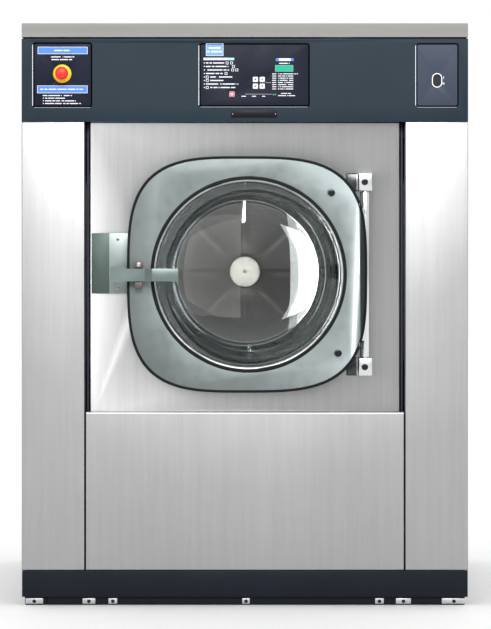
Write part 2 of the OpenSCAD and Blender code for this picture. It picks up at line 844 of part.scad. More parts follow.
module hinge_tube() {
    half = hinge_block_z - hinge_block_h / 2 - 1.5;
    leaf_y = flange_y + flange_t + ring_t;
    leaf_half = half - 45;
    color("#e8e9ea") difference() {
        union() {
            rod_z(hinge_x, hinge_y, hinge_r, door_z - half, door_z + half);
            box(hinge_x - 52, hinge_x, leaf_y, leaf_y + 6, door_z - leaf_half, door_z + leaf_half);
        }
        for (z = [door_z - half - 1, door_z + half - 34])
            rod_z(hinge_x, hinge_y, hinge_pin_r + running, z, z + 35);
    }
}

module hinge_brackets() {
    tall = hinge_block_h / 2;
    color("#c3c8c8") for (side = [-1, 1]) {
        mid = door_z + side * hinge_block_z;
        box(hinge_x - hinge_block_w / 2, hinge_x + hinge_block_w / 2, hinge_y - 22, centre_face,
            mid - tall, mid + tall);
        box(hinge_x - 50, hinge_x, centre_face - 8, centre_face, mid - tall, mid + tall);
        near = mid - side * tall;
        rod_z(hinge_x, hinge_y, hinge_pin_r, min(near, near - side * 30), max(near, near - side * 30));
    }
}

module door_screws() {
    color("#2b2b30") {
        for (place = [[door_x + 224, door_z + 220], [door_x + 242, door_z - 212]])
            rod_y(place[0], place[1], 9.5, door_face - 5, door_face);
    }
}

module handle_bracket() {
    color("#5b5350") {
        for (side = [0, 1]) {
            low = side == 0 ? handle_z - handle_h / 2 - 19 : handle_z + handle_h / 2 + 2;
            box(handle_x - 11, handle_x + 11, handle_y - 9, door_face, low, low + 17);
        }
        rod_z(handle_x, handle_y, pivot_r, handle_z - handle_h / 2 - 10, handle_z + handle_h / 2 + 10);
    }
}

module door_handle() {
    low = handle_z - handle_h / 2;
    high = handle_z + handle_h / 2;
    strap_y = handle_y - 11;
    bend = 24;
    color("#76827f") difference() {
        union() {
            translate([0, 0, low]) linear_extrude(handle_h) polygon([
                [handle_x - 38, strap_y], [handle_x + 17, strap_y], [handle_x + 37, strap_y - bend],
                [handle_x + 107, strap_y - bend], [handle_x + 107, strap_y - bend + strap_t],
                [handle_x + 39, strap_y - bend + strap_t], [handle_x + 19, strap_y + strap_t],
                [handle_x - 38, strap_y + strap_t]]);
            along_y(strap_y, strap_y + strap_t)
                rounded([handle_x - 77, handle_x - 36, low - 2, high + 7], 7);
            rod_z(handle_x, handle_y, 9, low + 1, high - 1);
            box(handle_x - 76, handle_x - 54, strap_y + strap_t, centre_face - 32, low + 8, high - 8);
        }
        rod_z(handle_x, handle_y, pivot_r + running, low - 1, high + 1);
    }
}

module door_striker() {
    low = handle_z - 12;
    inner = door_face + door_wall;
    color("#9aa0a3") difference() {
        union() {
            box(striker_x - 15, striker_x + 22, inner, inner + 6, low - 10, low + 34);
            box(striker_x - striker_w / 2, striker_x + striker_w / 2, inner, centre_face + 30, low, low + 24);
        }
        box(striker_x - striker_w, striker_x + striker_w, centre_face + 7, centre_face + 23, low + 5, low + 19);
    }
}

module lock_cover_outline(inset) {
    polygon([[outline_x - 413 + inset * 5, centre_face], [outline_x - 364 + inset, centre_face - 12 + inset],
             [lock_right + 14 - inset, centre_face - 12 + inset], [lock_right + 14 - inset, centre_face]]);
}

module lock_housing() {
    bolt_y = centre_face + 15;
    body_right = striker_x - striker_w / 2 - 4;
    color("#87938f") {
        difference() {
            translate([0, 0, door_z - 52]) linear_extrude(164) lock_cover_outline(0);
            translate([0, 0, door_z - 50]) linear_extrude(160) lock_cover_outline(2);
            box(striker_x - striker_w / 2 - 6, striker_x + striker_w / 2 + 6, centre_face - 13,
                centre_face - 9, handle_z - 20, handle_z + 20);
        }
        difference() {
            box(body_right - 90, body_right, centre_face + sheet, centre_face + 30, handle_z - 30, handle_z + 30);
            box(body_right - 70, body_right + 1, bolt_y - bolt_t / 2 - loose, bolt_y + bolt_t / 2 + loose,
                handle_z - bolt_t / 2 - loose, handle_z + bolt_t / 2 + loose);
        }
    }
}

module lock_bolt() {
    bolt_y = centre_face + 15;
    right = striker_x - striker_w / 2 - 3;
    color("#c6c8ca") box(right - 52, right, bolt_y - bolt_t / 2, bolt_y + bolt_t / 2,
                         handle_z - bolt_t / 2, handle_z + bolt_t / 2);
}

base_frame();
anchor_feet();
plinth();
front_columns();
side_panels();
centre_panel();
lower_panel();
top_panel();
fascia();
estop_plate();
display_plate();
switch_plate();
name_plate();
rear_panel();
portal_frame();
lock_housing();
hinge_brackets();
cabinet_screws();
control_unit();
inlet_valves();
drain_pipe();
door_bellows();
rear_fittings();
suspension_springs();
damper_tubes();
estop_collar();
tub_shell();
tub_front();
bearing_housing();
bearings();
tub_cradle();
motor_body();
v_belts();
damper_rods();
drum_shell();
drum_back();
lifters();
drum_shaft();
hub_cap();
drum_pulley();
motor_pulley();
door_frame();
door_glass();
door_ring();
door_seal();
hinge_tube();
door_striker();
handle_bracket();
door_screws();
door_handle();
lock_bolt();
estop_stem();
estop_head();
power_rocker();
key_body(start_x, start_z, "#a33a34");  // start_key
key_body(key_x - key_pitch / 2, key_z + key_pitch / 2, "#e6e8ea");  // key_top_left
key_body(key_x + key_pitch / 2, key_z + key_pitch / 2, "#e6e8ea");  // key_top_right
key_body(key_x - key_pitch / 2, key_z - key_pitch / 2, "#e6e8ea");  // key_low_left
key_body(key_x + key_pitch / 2, key_z - key_pitch / 2, "#e6e8ea");  // key_low_right
drain_disc();
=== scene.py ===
"""Looks of a front-loading laundry machine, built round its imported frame."""

import json
import math

import bmesh
import bpy
import numpy as np
from bpy.props import FloatProperty, FloatVectorProperty, IntProperty, PointerProperty
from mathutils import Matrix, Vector

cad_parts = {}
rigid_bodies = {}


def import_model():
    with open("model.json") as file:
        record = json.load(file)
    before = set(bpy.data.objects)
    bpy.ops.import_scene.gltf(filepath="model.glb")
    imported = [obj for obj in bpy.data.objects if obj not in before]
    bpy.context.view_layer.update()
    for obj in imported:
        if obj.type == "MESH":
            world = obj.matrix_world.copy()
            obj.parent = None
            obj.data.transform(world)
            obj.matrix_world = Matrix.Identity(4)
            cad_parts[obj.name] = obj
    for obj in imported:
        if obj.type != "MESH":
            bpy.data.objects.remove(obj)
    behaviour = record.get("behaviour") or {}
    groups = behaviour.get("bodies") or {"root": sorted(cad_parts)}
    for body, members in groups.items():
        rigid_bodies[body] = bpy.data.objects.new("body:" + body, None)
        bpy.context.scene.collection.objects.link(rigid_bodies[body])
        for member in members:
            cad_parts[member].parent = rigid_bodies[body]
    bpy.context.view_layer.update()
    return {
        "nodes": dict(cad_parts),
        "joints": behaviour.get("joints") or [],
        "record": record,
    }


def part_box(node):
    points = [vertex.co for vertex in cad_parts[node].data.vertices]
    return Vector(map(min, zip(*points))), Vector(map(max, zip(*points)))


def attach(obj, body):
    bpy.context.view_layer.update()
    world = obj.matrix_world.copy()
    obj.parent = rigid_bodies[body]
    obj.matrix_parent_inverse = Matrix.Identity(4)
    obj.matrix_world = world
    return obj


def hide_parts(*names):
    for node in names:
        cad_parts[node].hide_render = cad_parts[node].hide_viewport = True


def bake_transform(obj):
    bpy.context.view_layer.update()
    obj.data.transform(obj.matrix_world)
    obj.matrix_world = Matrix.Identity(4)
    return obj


bl_info = {
    "name": "Laundry machine looks",
    "version": (1, 0, 0),
    "blender": (4, 5, 0),
    "location": "View3D > Sidebar > Laundry",
    "description": "Pieces, finishes and studio of a front-loading laundry machine",
    "category": "Object",
}

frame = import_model()
NODES = frame["nodes"]
JOINTS = {j["name"]: j for j in frame["joints"]}
SLOT_OF = {part["node"]: part["material_slot"] for part in frame["record"]["subparts"]}
BODY_OF = {n: b for b, ns in frame["record"]["behaviour"]["bodies"].items() for n in ns}
MM = 0.001
NODE_WELD = 2e-6                    # points of a CAD node closer than this are one
FLAT_ANGLE = math.radians(0.5)      # faces that meet at less than this are joined
CORNER_ANGLE = math.radians(30)     # edges sharper than this are rounded
INK_RISE = 0.00025                  # how far print stands out of its plate
OVERPRINT = 0.0005                  # the same for print on other print
BORDER_RISE = 0.0004                # the same for a frame round other print
SINK = 1e-4                         # how far print goes into its plate


# Sizes and colours that a user would change

def length(name, description, default):
    """A length property, in metres."""
    return FloatProperty(name=name, description=description, default=default, min=0, unit="LENGTH",
                         precision=4)


def shade(name, description, default):
    """A linear colour property."""
    return FloatVectorProperty(name=name, description=description, default=default, size=3, min=0,
                               max=1, subtype="COLOR")


def share(name, description, default):
    """A plain number from 0 to 1."""
    return FloatProperty(name=name, description=description, default=default, min=0, max=1)


class CoverSettings(bpy.types.PropertyGroup):
    """Sheet-metal covers and base."""
    fold: length("Fold radius", "Outer radius of the folds of the cover panels", 0.0025)
    edge: length("Edge radius", "Radius of cut sheet edges", 0.0006)
    steel: shade("Steel", "Colour of the brushed stainless panels", (0.39, 0.39, 0.394))
    top: shade("Top steel", "Colour of the brushed top panel", (0.48, 0.475, 0.46))
    fascia: shade("Fascia paint", "Colour of the control fascia", (0.012, 0.021, 0.030))
    plinth: shade("Plinth paint", "Colour of the plinth", (0.007, 0.009, 0.014))
    base: shade("Base paint", "Colour of the base frame", (0.007, 0.010, 0.012))
    inner: shade("Inner frame paint", "Colour of the inner frame and cradle", (0.035, 0.04, 0.05))
    screw_r: length("Screw head radius", "Radius of the small screws on sides and rear", 0.0055)


class DoorSettings(bpy.types.PropertyGroup):
    """Door, glass, handle and hinge."""
    edge: length("Edge radius", "Radius of the outer edge of the door frame", 0.0045)
    metal: shade("Frame metal", "Colour of the satin door frame", (0.112, 0.129, 0.128))
    rubber: shade("Rubber", "Colour of the door's black rubber", (0.006, 0.007, 0.008))
    glass: shade("Glass", "Tint of the glass bowl", (0.62, 0.66, 0.66))
    veil: share("Glass veil", "Share of light that the glass mirrors face on", 0.032)
    sag: length("Bowl sag", "Depth of the curved bottom of the bowl", 0.034)
    # Painted highlight: a thin ring of the glass at this radius and height is made an almost opaque
    # mirror.
    highlight_r: length("Bowl line radius", "Radius of the bright line at the foot of the wall", 0.200)
    highlight_z: length("Bowl line height", "Height of the middle of that line over the floor", 0.900)
    wall: length("Glass wall", "Thickness of the glass", 0.009)
    handle: shade("Handle metal", "Colour of the handle strap", (0.15, 0.19, 0.18))
    ear: shade("Ear metal", "Colour of the handle's ears", (0.09, 0.07, 0.065))
    lock: shade("Lock cover", "Colour of the lock cover", (0.245, 0.285, 0.28))
    # Painted shade: the sloped outer part of the lock cover is given this darker colour.
    lock_slope_shade: shade("Lock cover side", "Colour of the outer part of the lock cover",
                     (0.080, 0.108, 0.098))
    tube: shade("Hinge tube", "Colour of the hinge tube and blocks", (0.68, 0.70, 0.70))


class ControlSettings(bpy.types.PropertyGroup):
    """Plates, keys, print and switches."""
    stop_plate: shade("Stop plate", "Colour of the stop plate", (0.004, 0.006, 0.016))
    display: shade("Display plate", "Colour of the display plate", (0.005, 0.007, 0.016))
    switch: shade("Switch plate", "Colour of the switch plate", (0.035, 0.044, 0.064))
    ink: shade("Ink", "Colour of the white print", (0.56, 0.58, 0.62))
    blue: shade("Blue ink", "Colour of the blue banners", (0.045, 0.16, 0.66))
    teal: shade("Readout", "Colour of the readout window", (0.010, 0.33, 0.20))
    red: shade("Red", "Colour of the stop button", (0.72, 0.022, 0.012))
    yellow: shade("Yellow", "Colour of the stop button's collar", (0.86, 0.50, 0.012))
    key: shade("Key", "Colour of the keys", (0.60, 0.61, 0.64))


class DrumSettings(bpy.types.PropertyGroup):
    """Drum, tub, drive and suspension."""
    # Painted shade: the drum steel is far darker than polished steel, to stand for the shade inside
    # the drum.
    steel: shade("Drum steel", "Colour of the polished drum", (0.060, 0.057, 0.054))
    tub: shade("Tub steel", "Colour of the tub", (0.40, 0.42, 0.43))
    cap: shade("Hub cap", "Colour of the turned hub cap", (0.62, 0.63, 0.56))
    hole_r: length("Hole radius", "Radius of the drum's drain holes", 0.0025)
    pitch: length("Hole pitch", "Distance between drain holes", 0.014)
    ribs: IntProperty(name="Ribs", description="Radial ribs pressed into the drum's back",
                      default=8, min=3, max=16)
    rib_rise: length("Rib rise", "Height of the pressed ribs", 0.0007)


class StageSettings(bpy.types.PropertyGroup):
    """Floor, lights and camera."""
    floor: shade("Floor", "Colour of the floor", (0.93, 0.93, 0.93))
    lens: FloatProperty(name="Lens", description="Focal length", default=158.4, unit="CAMERA")
    distance: length("Camera distance", "From the front of the cabinet to the camera", 7.5)
    height: length("Camera height", "Height of the camera over the floor", 0.9)


def settings():
    """The one group that holds all the others."""
    return bpy.context.scene.laundry


class LaundrySettings(bpy.types.PropertyGroup):
    """All sizes and colours of the machine's looks."""
    covers: PointerProperty(type=CoverSettings, name="Covers", description="Covers and base")
    door: PointerProperty(type=DoorSettings, name="Door", description="Door and handle")
    controls: PointerProperty(type=ControlSettings, name="Controls", description="Controls")
    drum: PointerProperty(type=DrumSettings, name="Drum", description="Drum and drive")
    stage: PointerProperty(type=StageSettings, name="Stage", description="Floor, lights, camera")


# Outlines, and shapes as points and faces

def skin(rings, close_rows=False, caps=False):
    """Quads over a grid of rings of equal length, each ring closed on itself; the rows close too,
    or the first and last ring are filled flat."""
    rings = np.asarray(rings, float)
    rows, cols = rings.shape[:2]
    a, b = np.meshgrid(np.arange(rows if close_rows else rows - 1), np.arange(cols), indexing="ij")
    a2, b2 = (a + 1) % rows, (b + 1) % cols
    quads = np.stack([a * cols + b, a * cols + b2, a2 * cols + b2, a2 * cols + b], -1)
    faces = quads.reshape(-1, 4).tolist()
    if caps:
        faces += [list(range(cols)), list(range((rows - 1) * cols, rows * cols))]
    return rings.reshape(-1, 3), faces


def turn(profile, x, z, steps=96, close=True):
    """A profile of radius and depth pairs carried round an axis along Y through x and z. Where x
    and z are one value per pair, the axis leans."""
    r, y = np.asarray(profile, float).T[:, :, None]
    a = np.linspace(0, 2 * np.pi, steps, endpoint=False)[None]
    x, z = (np.broadcast_to(np.asarray(v, float).reshape(-1, 1), r.shape) for v in (x, z))
    return skin(np.stack([x + r * np.cos(a), y + 0 * a, z + r * np.sin(a)], -1), close_rows=close)


def soften(points, reach, steps=4, closed=True):
    """Rounds each corner of an outline: a quadratic curve from a point `reach` before the corner to
    one as far after it."""
    p = np.asarray(points, float)
    before, after = np.roll(p, 1, 0) - p, np.roll(p, -1, 0) - p
    far_before, far_after = (np.linalg.norm(v, axis=1, keepdims=True) for v in (before, after))
    cut = np.minimum(reach, 0.49 * np.minimum(far_before, far_after))
    start, end = p + before / far_before * cut, p + after / far_after * cut
    t = np.linspace(0, 1, steps + 1)[:, None, None]
    curve = ((1 - t) ** 2 * start + 2 * t * (1 - t) * p + t ** 2 * end).transpose(1, 0, 2)
    if not closed:
        curve[0], curve[-1] = p[0], p[-1]
    return curve.reshape(-1, 2)


def in_xz(loop, y):
    """A loop of X and Z pairs set at depth y."""
    loop = np.asarray(loop, float)
    return np.stack([loop[:, 0], np.full(len(loop), y), loop[:, 1]], 1)


def rectangle(x0, x1, z0, z1, r, steps=5):
    """Outline of a rectangle with round corners, as a function of its inset."""
    def outline(inset=0.0):
        corner = max(r - inset, 1e-5)
        a = np.linspace(0, np.pi / 2, steps)[None] + np.arange(4)[:, None] * np.pi / 2
        cx = np.array([x1 - r, x0 + r, x0 + r, x1 - r])[:, None]
        cz = np.array([z1 - r, z1 - r, z0 + r, z0 + r])[:, None]
        inner = max(inset - r, 0.0)
        cx = cx - inner * np.sign(cx - (x0 + x1) / 2)
        cz = cz - inner * np.sign(cz - (z0 + z1) / 2)
        return np.stack([cx + corner * np.cos(a), cz + corner * np.sin(a)], -1).reshape(-1, 2)
    return outline


def frame_line(outline, width, front, back):
    """A flat closed band: the outline, the line one width inside it, and the backs of both."""
    outer, inner = outline(0.0), outline(width)
    return skin([in_xz(outer, back), in_xz(outer, front), in_xz(inner, front), in_xz(inner, back)],
                close_rows=True)


# The six sides of a block, by corner: four round its lower end, then four round its upper end
BRICK = np.array([[0, 1, 5, 4], [1, 2, 6, 5], [2, 3, 7, 6], [3, 0, 4, 7], [3, 2, 1, 0],
                  [4, 5, 6, 7]])


def bricks(bars, front, back):
    """One thin block per bar of left, right, lower and upper edge."""
    bars = np.asarray(bars, float).reshape(-1, 4)
    x = bars[:, [0, 1, 1, 0, 0, 1, 1, 0]]
    z = bars[:, [2, 2, 2, 2, 3, 3, 3, 3]]
    y = np.broadcast_to(np.array([front, front, back, back] * 2, float), x.shape)
    faces = BRICK[None] + 8 * np.arange(len(bars))[:, None, None]
    return np.stack([x, y, z], -1).reshape(-1, 3), faces.reshape(-1, 4).tolist()


def socket_screw(x, z, front, r, depth, hexagon=0.5):
    """A cap screw: a chamfered head whose face falls into a six-sided pocket."""
    steps = 24
    a = np.linspace(0, 2 * np.pi, steps, endpoint=False)
    side = hexagon * r * np.cos(np.pi / 6) / np.cos((a + np.pi / 6) % (np.pi / 3) - np.pi / 6)
    head, floor = np.ones(steps) * r, front + 0.5 * depth
    rows = [(0 * a, floor), (side, floor), (side, front), (head * 0.86, front),
            (head * 0.96, front + 0.06 * r), (head, front + 0.2 * r), (head, front + depth),
            (0 * a, front + depth)]
    return skin([np.stack([x + q * np.cos(a), np.full(steps, y), z + q * np.sin(a)], 1)
                 for q, y in rows])


def screw_in_box(low, high, hexagon=0.5):
    """A cap screw that fills the space between two corners."""
    return socket_screw((low[0] + high[0]) / 2, (low[2] + high[2]) / 2, low[1],
                        (high[0] - low[0]) / 2, high[1] - low[1], hexagon)


def merge(*parts):
    """Several shapes as one list of points and faces."""
    points, faces, count = [], [], 0
    for p, f in parts:
        points.append(np.asarray(p, float))
        faces += [[i + count for i in face] for face in f]
        count += len(p)
    return np.concatenate(points), faces


def rotated(part, about, axis, angle):
    """A shape turned about an axis (0, 1 or 2) through a point."""
    points, faces = part
    i, j = [k for k in range(3) if k != axis]
    q = np.array(points, float) - np.asarray(about, float)
    c, s = math.cos(angle), math.sin(angle)
    q[:, i], q[:, j] = c * q[:, i] - s * q[:, j], s * q[:, i] + c * q[:, j]
    return q + np.asarray(about, float), faces


# Meshes

def welded(mesh, reach):
    """An editable copy of a mesh, in which points closer than the reach are one."""
    bm = bmesh.new()
    bm.from_mesh(mesh)
    bmesh.ops.remove_doubles(bm, verts=bm.verts, dist=reach)
    return bm


def close_up(mesh):
    """Merges doubled points at seams and poles, and points the faces of closed shells outwards."""
    bm = welded(mesh, 1e-6)
    bmesh.ops.dissolve_degenerate(bm, edges=bm.edges, dist=1e-7)
    bmesh.ops.recalc_face_normals(bm, faces=bm.faces)
    bm.to_mesh(mesh)
    bm.free()


def mesh_of(name, points, faces):
    """A new mesh from points and faces."""
    mesh = bpy.data.meshes.new(name)
    mesh.from_pydata(points.tolist(), [], faces)
    return mesh


def put(name, data):
    """A new object at the origin, in the scene."""
    obj = bpy.data.objects.new(name, data)
    bpy.context.scene.collection.objects.link(obj)
    return obj


def show(obj, body, material, slot, replaces=(), smooth=35):
    """Puts a finished piece on its body, with its finish and the nodes that it stands for."""
    mesh = obj.data
    mesh.polygons.foreach_set("use_smooth", np.ones(len(mesh.polygons), bool))
    mesh.set_sharp_from_angle(angle=math.radians(smooth))
    mesh.materials.clear()
    mesh.materials.append(material)
    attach(obj, body)
    if replaces:
        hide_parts(*replaces)
    return obj


def piece(name, body, material, slot, *parts, replaces=(), smooth=35):
    """A new piece made of one or more shapes."""
    mesh = mesh_of(name, *merge(*parts))
    close_up(mesh)
    return show(put(name, mesh), body, material, slot, replaces, smooth)


def eased(node, material, width, segments=2, fold=None, at_fold=None):
    """Stands for a CAD node: a copy with merged points and joined flat faces, whose edges are
    rounded by width, or by fold where at_fold accepts both ends of the edge."""
    mesh = NODES[node].data.copy()
    mesh.name = node + "_eased"
    bm = welded(mesh, NODE_WELD)
    bmesh.ops.dissolve_limit(bm, angle_limit=FLAT_ANGLE, verts=bm.verts, edges=bm.edges)
    for size, wanted in ((fold, True), (width, False)):
        if not size:
            continue
        edges = [e for e in bm.edges if e.is_manifold and e.calc_face_angle(0) > CORNER_ANGLE
                 and e.calc_length() > size
                 and (at_fold is not None and all(at_fold(v.co) for v in e.verts)) == wanted]
        bmesh.ops.bevel(bm, geom=edges, offset=size, offset_type="OFFSET", profile=0.5,
                        segments=segments + wanted, affect="EDGES", clamp_overlap=True)
    bm.to_mesh(mesh)
    bm.free()
    return show(put(node + "_eased", mesh), BODY_OF[node], material, SLOT_OF[node], (node,))


def islands(node):
    """Lowest and highest corner of each separate solid of a CAD node, ordered by height and then
    from left to right."""
    bm = welded(NODES[node].data, NODE_WELD)
    left, found = set(bm.verts), []
    while left:
        seed = left.pop()
        group, edge = [seed], [seed]
        while edge:
            near = {e.other_vert(v) for v in edge for e in v.link_edges} & left
            left -= near
            group += near
            edge = list(near)
        co = np.array([v.co for v in group])
        found.append((co.min(0), co.max(0)))
    bm.free()
    return sorted(found, key=lambda b: (round(b[0][2], 3), round(b[0][0], 3)))


# Finishes

class Finish:
    """One node material. Patterns in object space feed the colour, roughness and relief of a
    Principled surface, each pattern on top of the last."""

    def __init__(self, name, colour, roughness, **fixed):
        self.material = bpy.data.materials.new(name)
        self.material.use_nodes = True
        self.tree = self.material.node_tree
        self.surface = self.tree.nodes["Principled BSDF"]
        self.surface.inputs["Base Color"].default_value = (*colour, 1)
        self.surface.inputs["Roughness"].default_value = roughness
        for key, value in fixed.items():
            self.surface.inputs[key.replace("_", " ")].default_value = value
        self.colour = self.relief = None

    def add(self, kind, *inputs, **options):
        """A node with its first sockets linked or set, in order; None leaves a socket alone."""
        node = self.tree.nodes.new("ShaderNode" + kind)
        for key, value in options.items():
            setattr(node, key, value)
        for socket, value in zip(node.inputs, inputs):
            self.feed(socket, value)
        return node

    def feed(self, socket, value):
        """Links a socket, or sets it; None leaves it alone."""
        if isinstance(value, bpy.types.NodeSocket):
            self.tree.links.new(value, socket)
        elif value is not None:
            socket.default_value = value

    def math(self, operation, *values):
        """The result of a sum, product or other function of values."""
        return self.add("Math", *values, operation=operation).outputs[0]

    def place(self, scale=(1, 1, 1), turned=(0, 0, 0), moved=(0, 0, 0)):
        """Object coordinates, moved, turned and scaled."""
        coords = self.add("TexCoord").outputs["Object"]
        return self.add("Mapping", coords, moved, turned, scale).outputs[0]

    def polar(self, x, z):
        """Radius from an axis along Y, angle about it, and depth."""
        x_, y_, z_ = self.add("SeparateXYZ", self.place(moved=(-x, 0, -z))).outputs
        radius = self.math("SQRT", self.math("ADD", self.math("MULTIPLY", x_, x_),
                                             self.math("MULTIPLY", z_, z_)))
        return radius, self.math("ARCTAN2", z_, x_), y_

    def noise(self, scale, detail=2.0, roughness=0.5, at=None):
        """Smooth noise with so many features a metre along X, Y and Z, or along all three."""
        node = self.add("TexNoise")
        scale = (scale,) * 3 if isinstance(scale, (int, float)) else scale
        self.feed(node.inputs["Vector"], self.place(scale) if at is None else at)
        self.feed(node.inputs["Scale"], 1.0)
        self.feed(node.inputs["Detail"], detail)
        self.feed(node.inputs["Roughness"], roughness)
        return node.outputs["Fac"]

    def span(self, value, low, high, to_low, to_high):
        """Maps low..high to to_low..to_high, and holds the ends."""
        return self.add("MapRange", value, low, high, to_low, to_high).outputs[0]

    def tint(self, factor, low, high):
        """Multiplies the colour by low..high as the factor goes from 0.3 to 0.7."""
        return self.mix(1.0, self.span(factor, 0.3, 0.7, low, high), blend_type="MULTIPLY")

    def stain(self, mask, colour):
        """Lays another colour over the first where the mask is 1."""
        return self.mix(mask, (*colour, 1))

    def mix(self, factor, second, **options):
        """Mixes a second colour into the colour so far."""
        node = self.add("Mix", data_type="RGBA", **options)
        base = tuple(self.surface.inputs["Base Color"].default_value)
        self.feed(node.inputs[0], factor)
        self.feed(node.inputs[6], base if self.colour is None else self.colour)
        self.feed(node.inputs[7], second)
        self.colour = node.outputs[2]
        self.feed(self.surface.inputs["Base Color"], self.colour)
        return self

    def across(self, start, end, share_before, share_after, colour):
        """Lays on another colour whose share changes as X goes from start to end."""
        x = self.add("SeparateXYZ", self.place()).outputs[0]
        return self.stain(self.span(x, start, end, share_before, share_after), colour)

    def rub(self, factor, low, high):
        """Roughness goes from low to high with the factor."""
        self.feed(self.surface.inputs["Roughness"], self.span(factor, 0.3, 0.7, low, high))
        return self

    def emboss(self, height, depth):
        """Relief of so many metres, on top of any earlier relief."""
        node = self.add("Bump")
        self.feed(node.inputs["Strength"], 1.0)
        self.feed(node.inputs["Distance"], depth)
        self.feed(node.inputs["Height"], height)
        if self.relief is not None:
            self.feed(node.inputs["Normal"], self.relief)
        self.relief = node.outputs[0]
        self.feed(self.surface.inputs["Normal"], self.relief)
        return self


def brushed(name, colour, roughness, along=2, contrast=0.05, depth=4e-6):
    """Brushed steel: fine hairlines and wider streaks along one axis, and faint handling marks."""
    fine, wide = [900.0] * 3, [70.0] * 3
    fine[along], wide[along] = 7.0, 1.4
    f = Finish(name, colour, roughness, Metallic=1.0)
    hair, streak = f.noise(fine, 3.0), f.noise(wide, 2.0)
    f.tint(hair, 1 - contrast, 1 + contrast).tint(streak, 1 - 0.6 * contrast, 1 + 0.6 * contrast)
    f.rub(f.noise((5, 5, 4), 3.0), roughness - 0.03, roughness + 0.04)
    return f.emboss(hair, depth).material


def painted(name, colour, roughness, size=900.0, depth=2e-5, metallic=0.0, contrast=0.06):
    """Baked paint: a fine orange-peel skin, slightly uneven in colour and gloss."""
    f = Finish(name, colour, roughness, Metallic=metallic, Specular_IOR_Level=0.12)
    f.tint(f.noise(size), 1 - contrast, 1 + contrast)
    f.tint(f.noise(6, 3.0), 1 - contrast, 1 + contrast)
    f.rub(f.noise(14, 3.0), roughness - 0.05, roughness + 0.06)
    return f.emboss(f.noise(size * 0.6, 1.0), depth).material


def pitted(f, contrast, smooth, rough, depth=1.2e-5):
    """A finely pitted skin whose roughness goes from smooth to rough."""
    f.tint(f.noise(1500, 3.0), 1 - contrast, 1 + contrast).rub(f.noise(30, 3.0), smooth, rough)
    return f.emboss(f.noise(1100), depth)


def satin(name, colour, roughness, metallic=1.0, contrast=0.04):
    """Bead-blasted or cast metal: a matt, finely pitted skin with cloudy patches."""
    f = Finish(name, colour, roughness, Metallic=metallic)
    pitted(f, contrast, roughness - 0.05, roughness + 0.05)
    return f.tint(f.noise(9, 4.0), 1 - contrast, 1 + contrast).material


def moulded(name, colour, roughness, contrast=0.03, shine=0.35):
    """Moulded plastic or rubber: an even colour under a very fine skin."""
    f = Finish(name, colour, roughness, Specular_IOR_Level=shine)
    f.tint(f.noise(600, 2.0), 1 - contrast, 1 + contrast)
    f.rub(f.noise(25, 2.0), roughness - 0.04, roughness + 0.05)
    return f.emboss(f.noise(900, 1.0), 8e-6).material


def polished(name, colour, roughness, tints, gloss, **fixed):
    """Polished plastic: an almost smooth skin that is a little uneven in colour and gloss."""
    f = Finish(name, colour, roughness, **fixed)
    f.tint(f.noise(500), *tints).rub(f.noise(40), *gloss)
    return f.emboss(f.noise(900), 4e-6).material


def spun(name, colour, roughness, x, z, lines=900.0, contrast=0.06, anisotropy=0.7):
    """Metal turned on a lathe: fine rings about an axis along Y, which stretch the highlights."""
    f = Finish(name, colour, roughness, Metallic=1.0, Anisotropic=anisotropy,
               Anisotropic_Rotation=0.25)
    radius = f.polar(x, z)[0]
    rings = f.noise(None, 2.0, at=f.add("CombineXYZ", f.math("MULTIPLY", radius, lines)).outputs[0])
    f.tint(rings, 1 - contrast, 1 + contrast)
    f.tint(f.noise(8, 3.0), 0.94, 1.05)
    f.emboss(rings, 3e-6)
    tangent = f.add("Tangent", direction_type="RADIAL", axis="Y").outputs[0]
    f.feed(f.surface.inputs["Tangent"], tangent)
    return f.material


# Covers and base

def dress(material, *nodes, edge=0.0008, **more):
    """Stands eased copies in for CAD nodes, all in one finish."""
    return [eased(n, material, edge, **more) for n in nodes]


class LAUNDRY_OT_covers(bpy.types.Operator):
    """Brushed steel covers with folded edges, and the painted fascia"""
    bl_idname = "laundry.covers"
    bl_label = "Covers"

    def execute(self, context):
        s = settings().covers
        upright = brushed("Steel upright grain", s.steel, 0.42)
        flat = brushed("Steel cross grain", s.top, 0.42, along=0)
        fascia = painted("Fascia paint", s.fascia, 0.42, size=700, depth=3e-5)
        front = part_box("front_columns")[0].y
        for node in ("front_columns", "side_panels", "lower_panel", "rear_panel", "centre_panel"):
            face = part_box(node)[0].y
            dress(upright, node, edge=s.edge, fold=s.fold, at_fold=lambda co: co.y < face + 1e-4)
        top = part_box("top_panel")[1].z
        dress(flat, "top_panel", edge=s.edge, fold=s.fold,
              at_fold=lambda co: co.z > top - 1e-4 or co.y < front + 1e-4)
        dress(fascia, "fascia", edge=s.edge, fold=s.fold, at_fold=lambda co: co.y < front + 1e-4)
        return {"FINISHED"}


class LAUNDRY_OT_base(bpy.types.Operator):
    """Painted base frame, plinth and inner frame, and the zinc feet"""
    bl_idname = "laundry.base"
    bl_label = "Base and inner frame"

    def execute(self, context):
        s = settings().covers
        plinth = painted("Plinth paint", s.plinth, 0.38, size=800)
        base = painted("Base paint", s.base, 0.45, size=500, depth=4e-5)
        inner = painted("Inner frame paint", s.inner, 0.45, size=500, depth=4e-5)
        zinc = satin("Zinc plate", (0.55, 0.56, 0.57), 0.4, contrast=0.10)
        dress(plinth, "plinth", edge=0.0015)
        dress(base, "base_frame", edge=0.003)
        dress(inner, "portal_frame", "tub_cradle", edge=0.003)
        dress(zinc, "anchor_feet", edge=0.0008)
        return {"FINISHED"}


# Controls

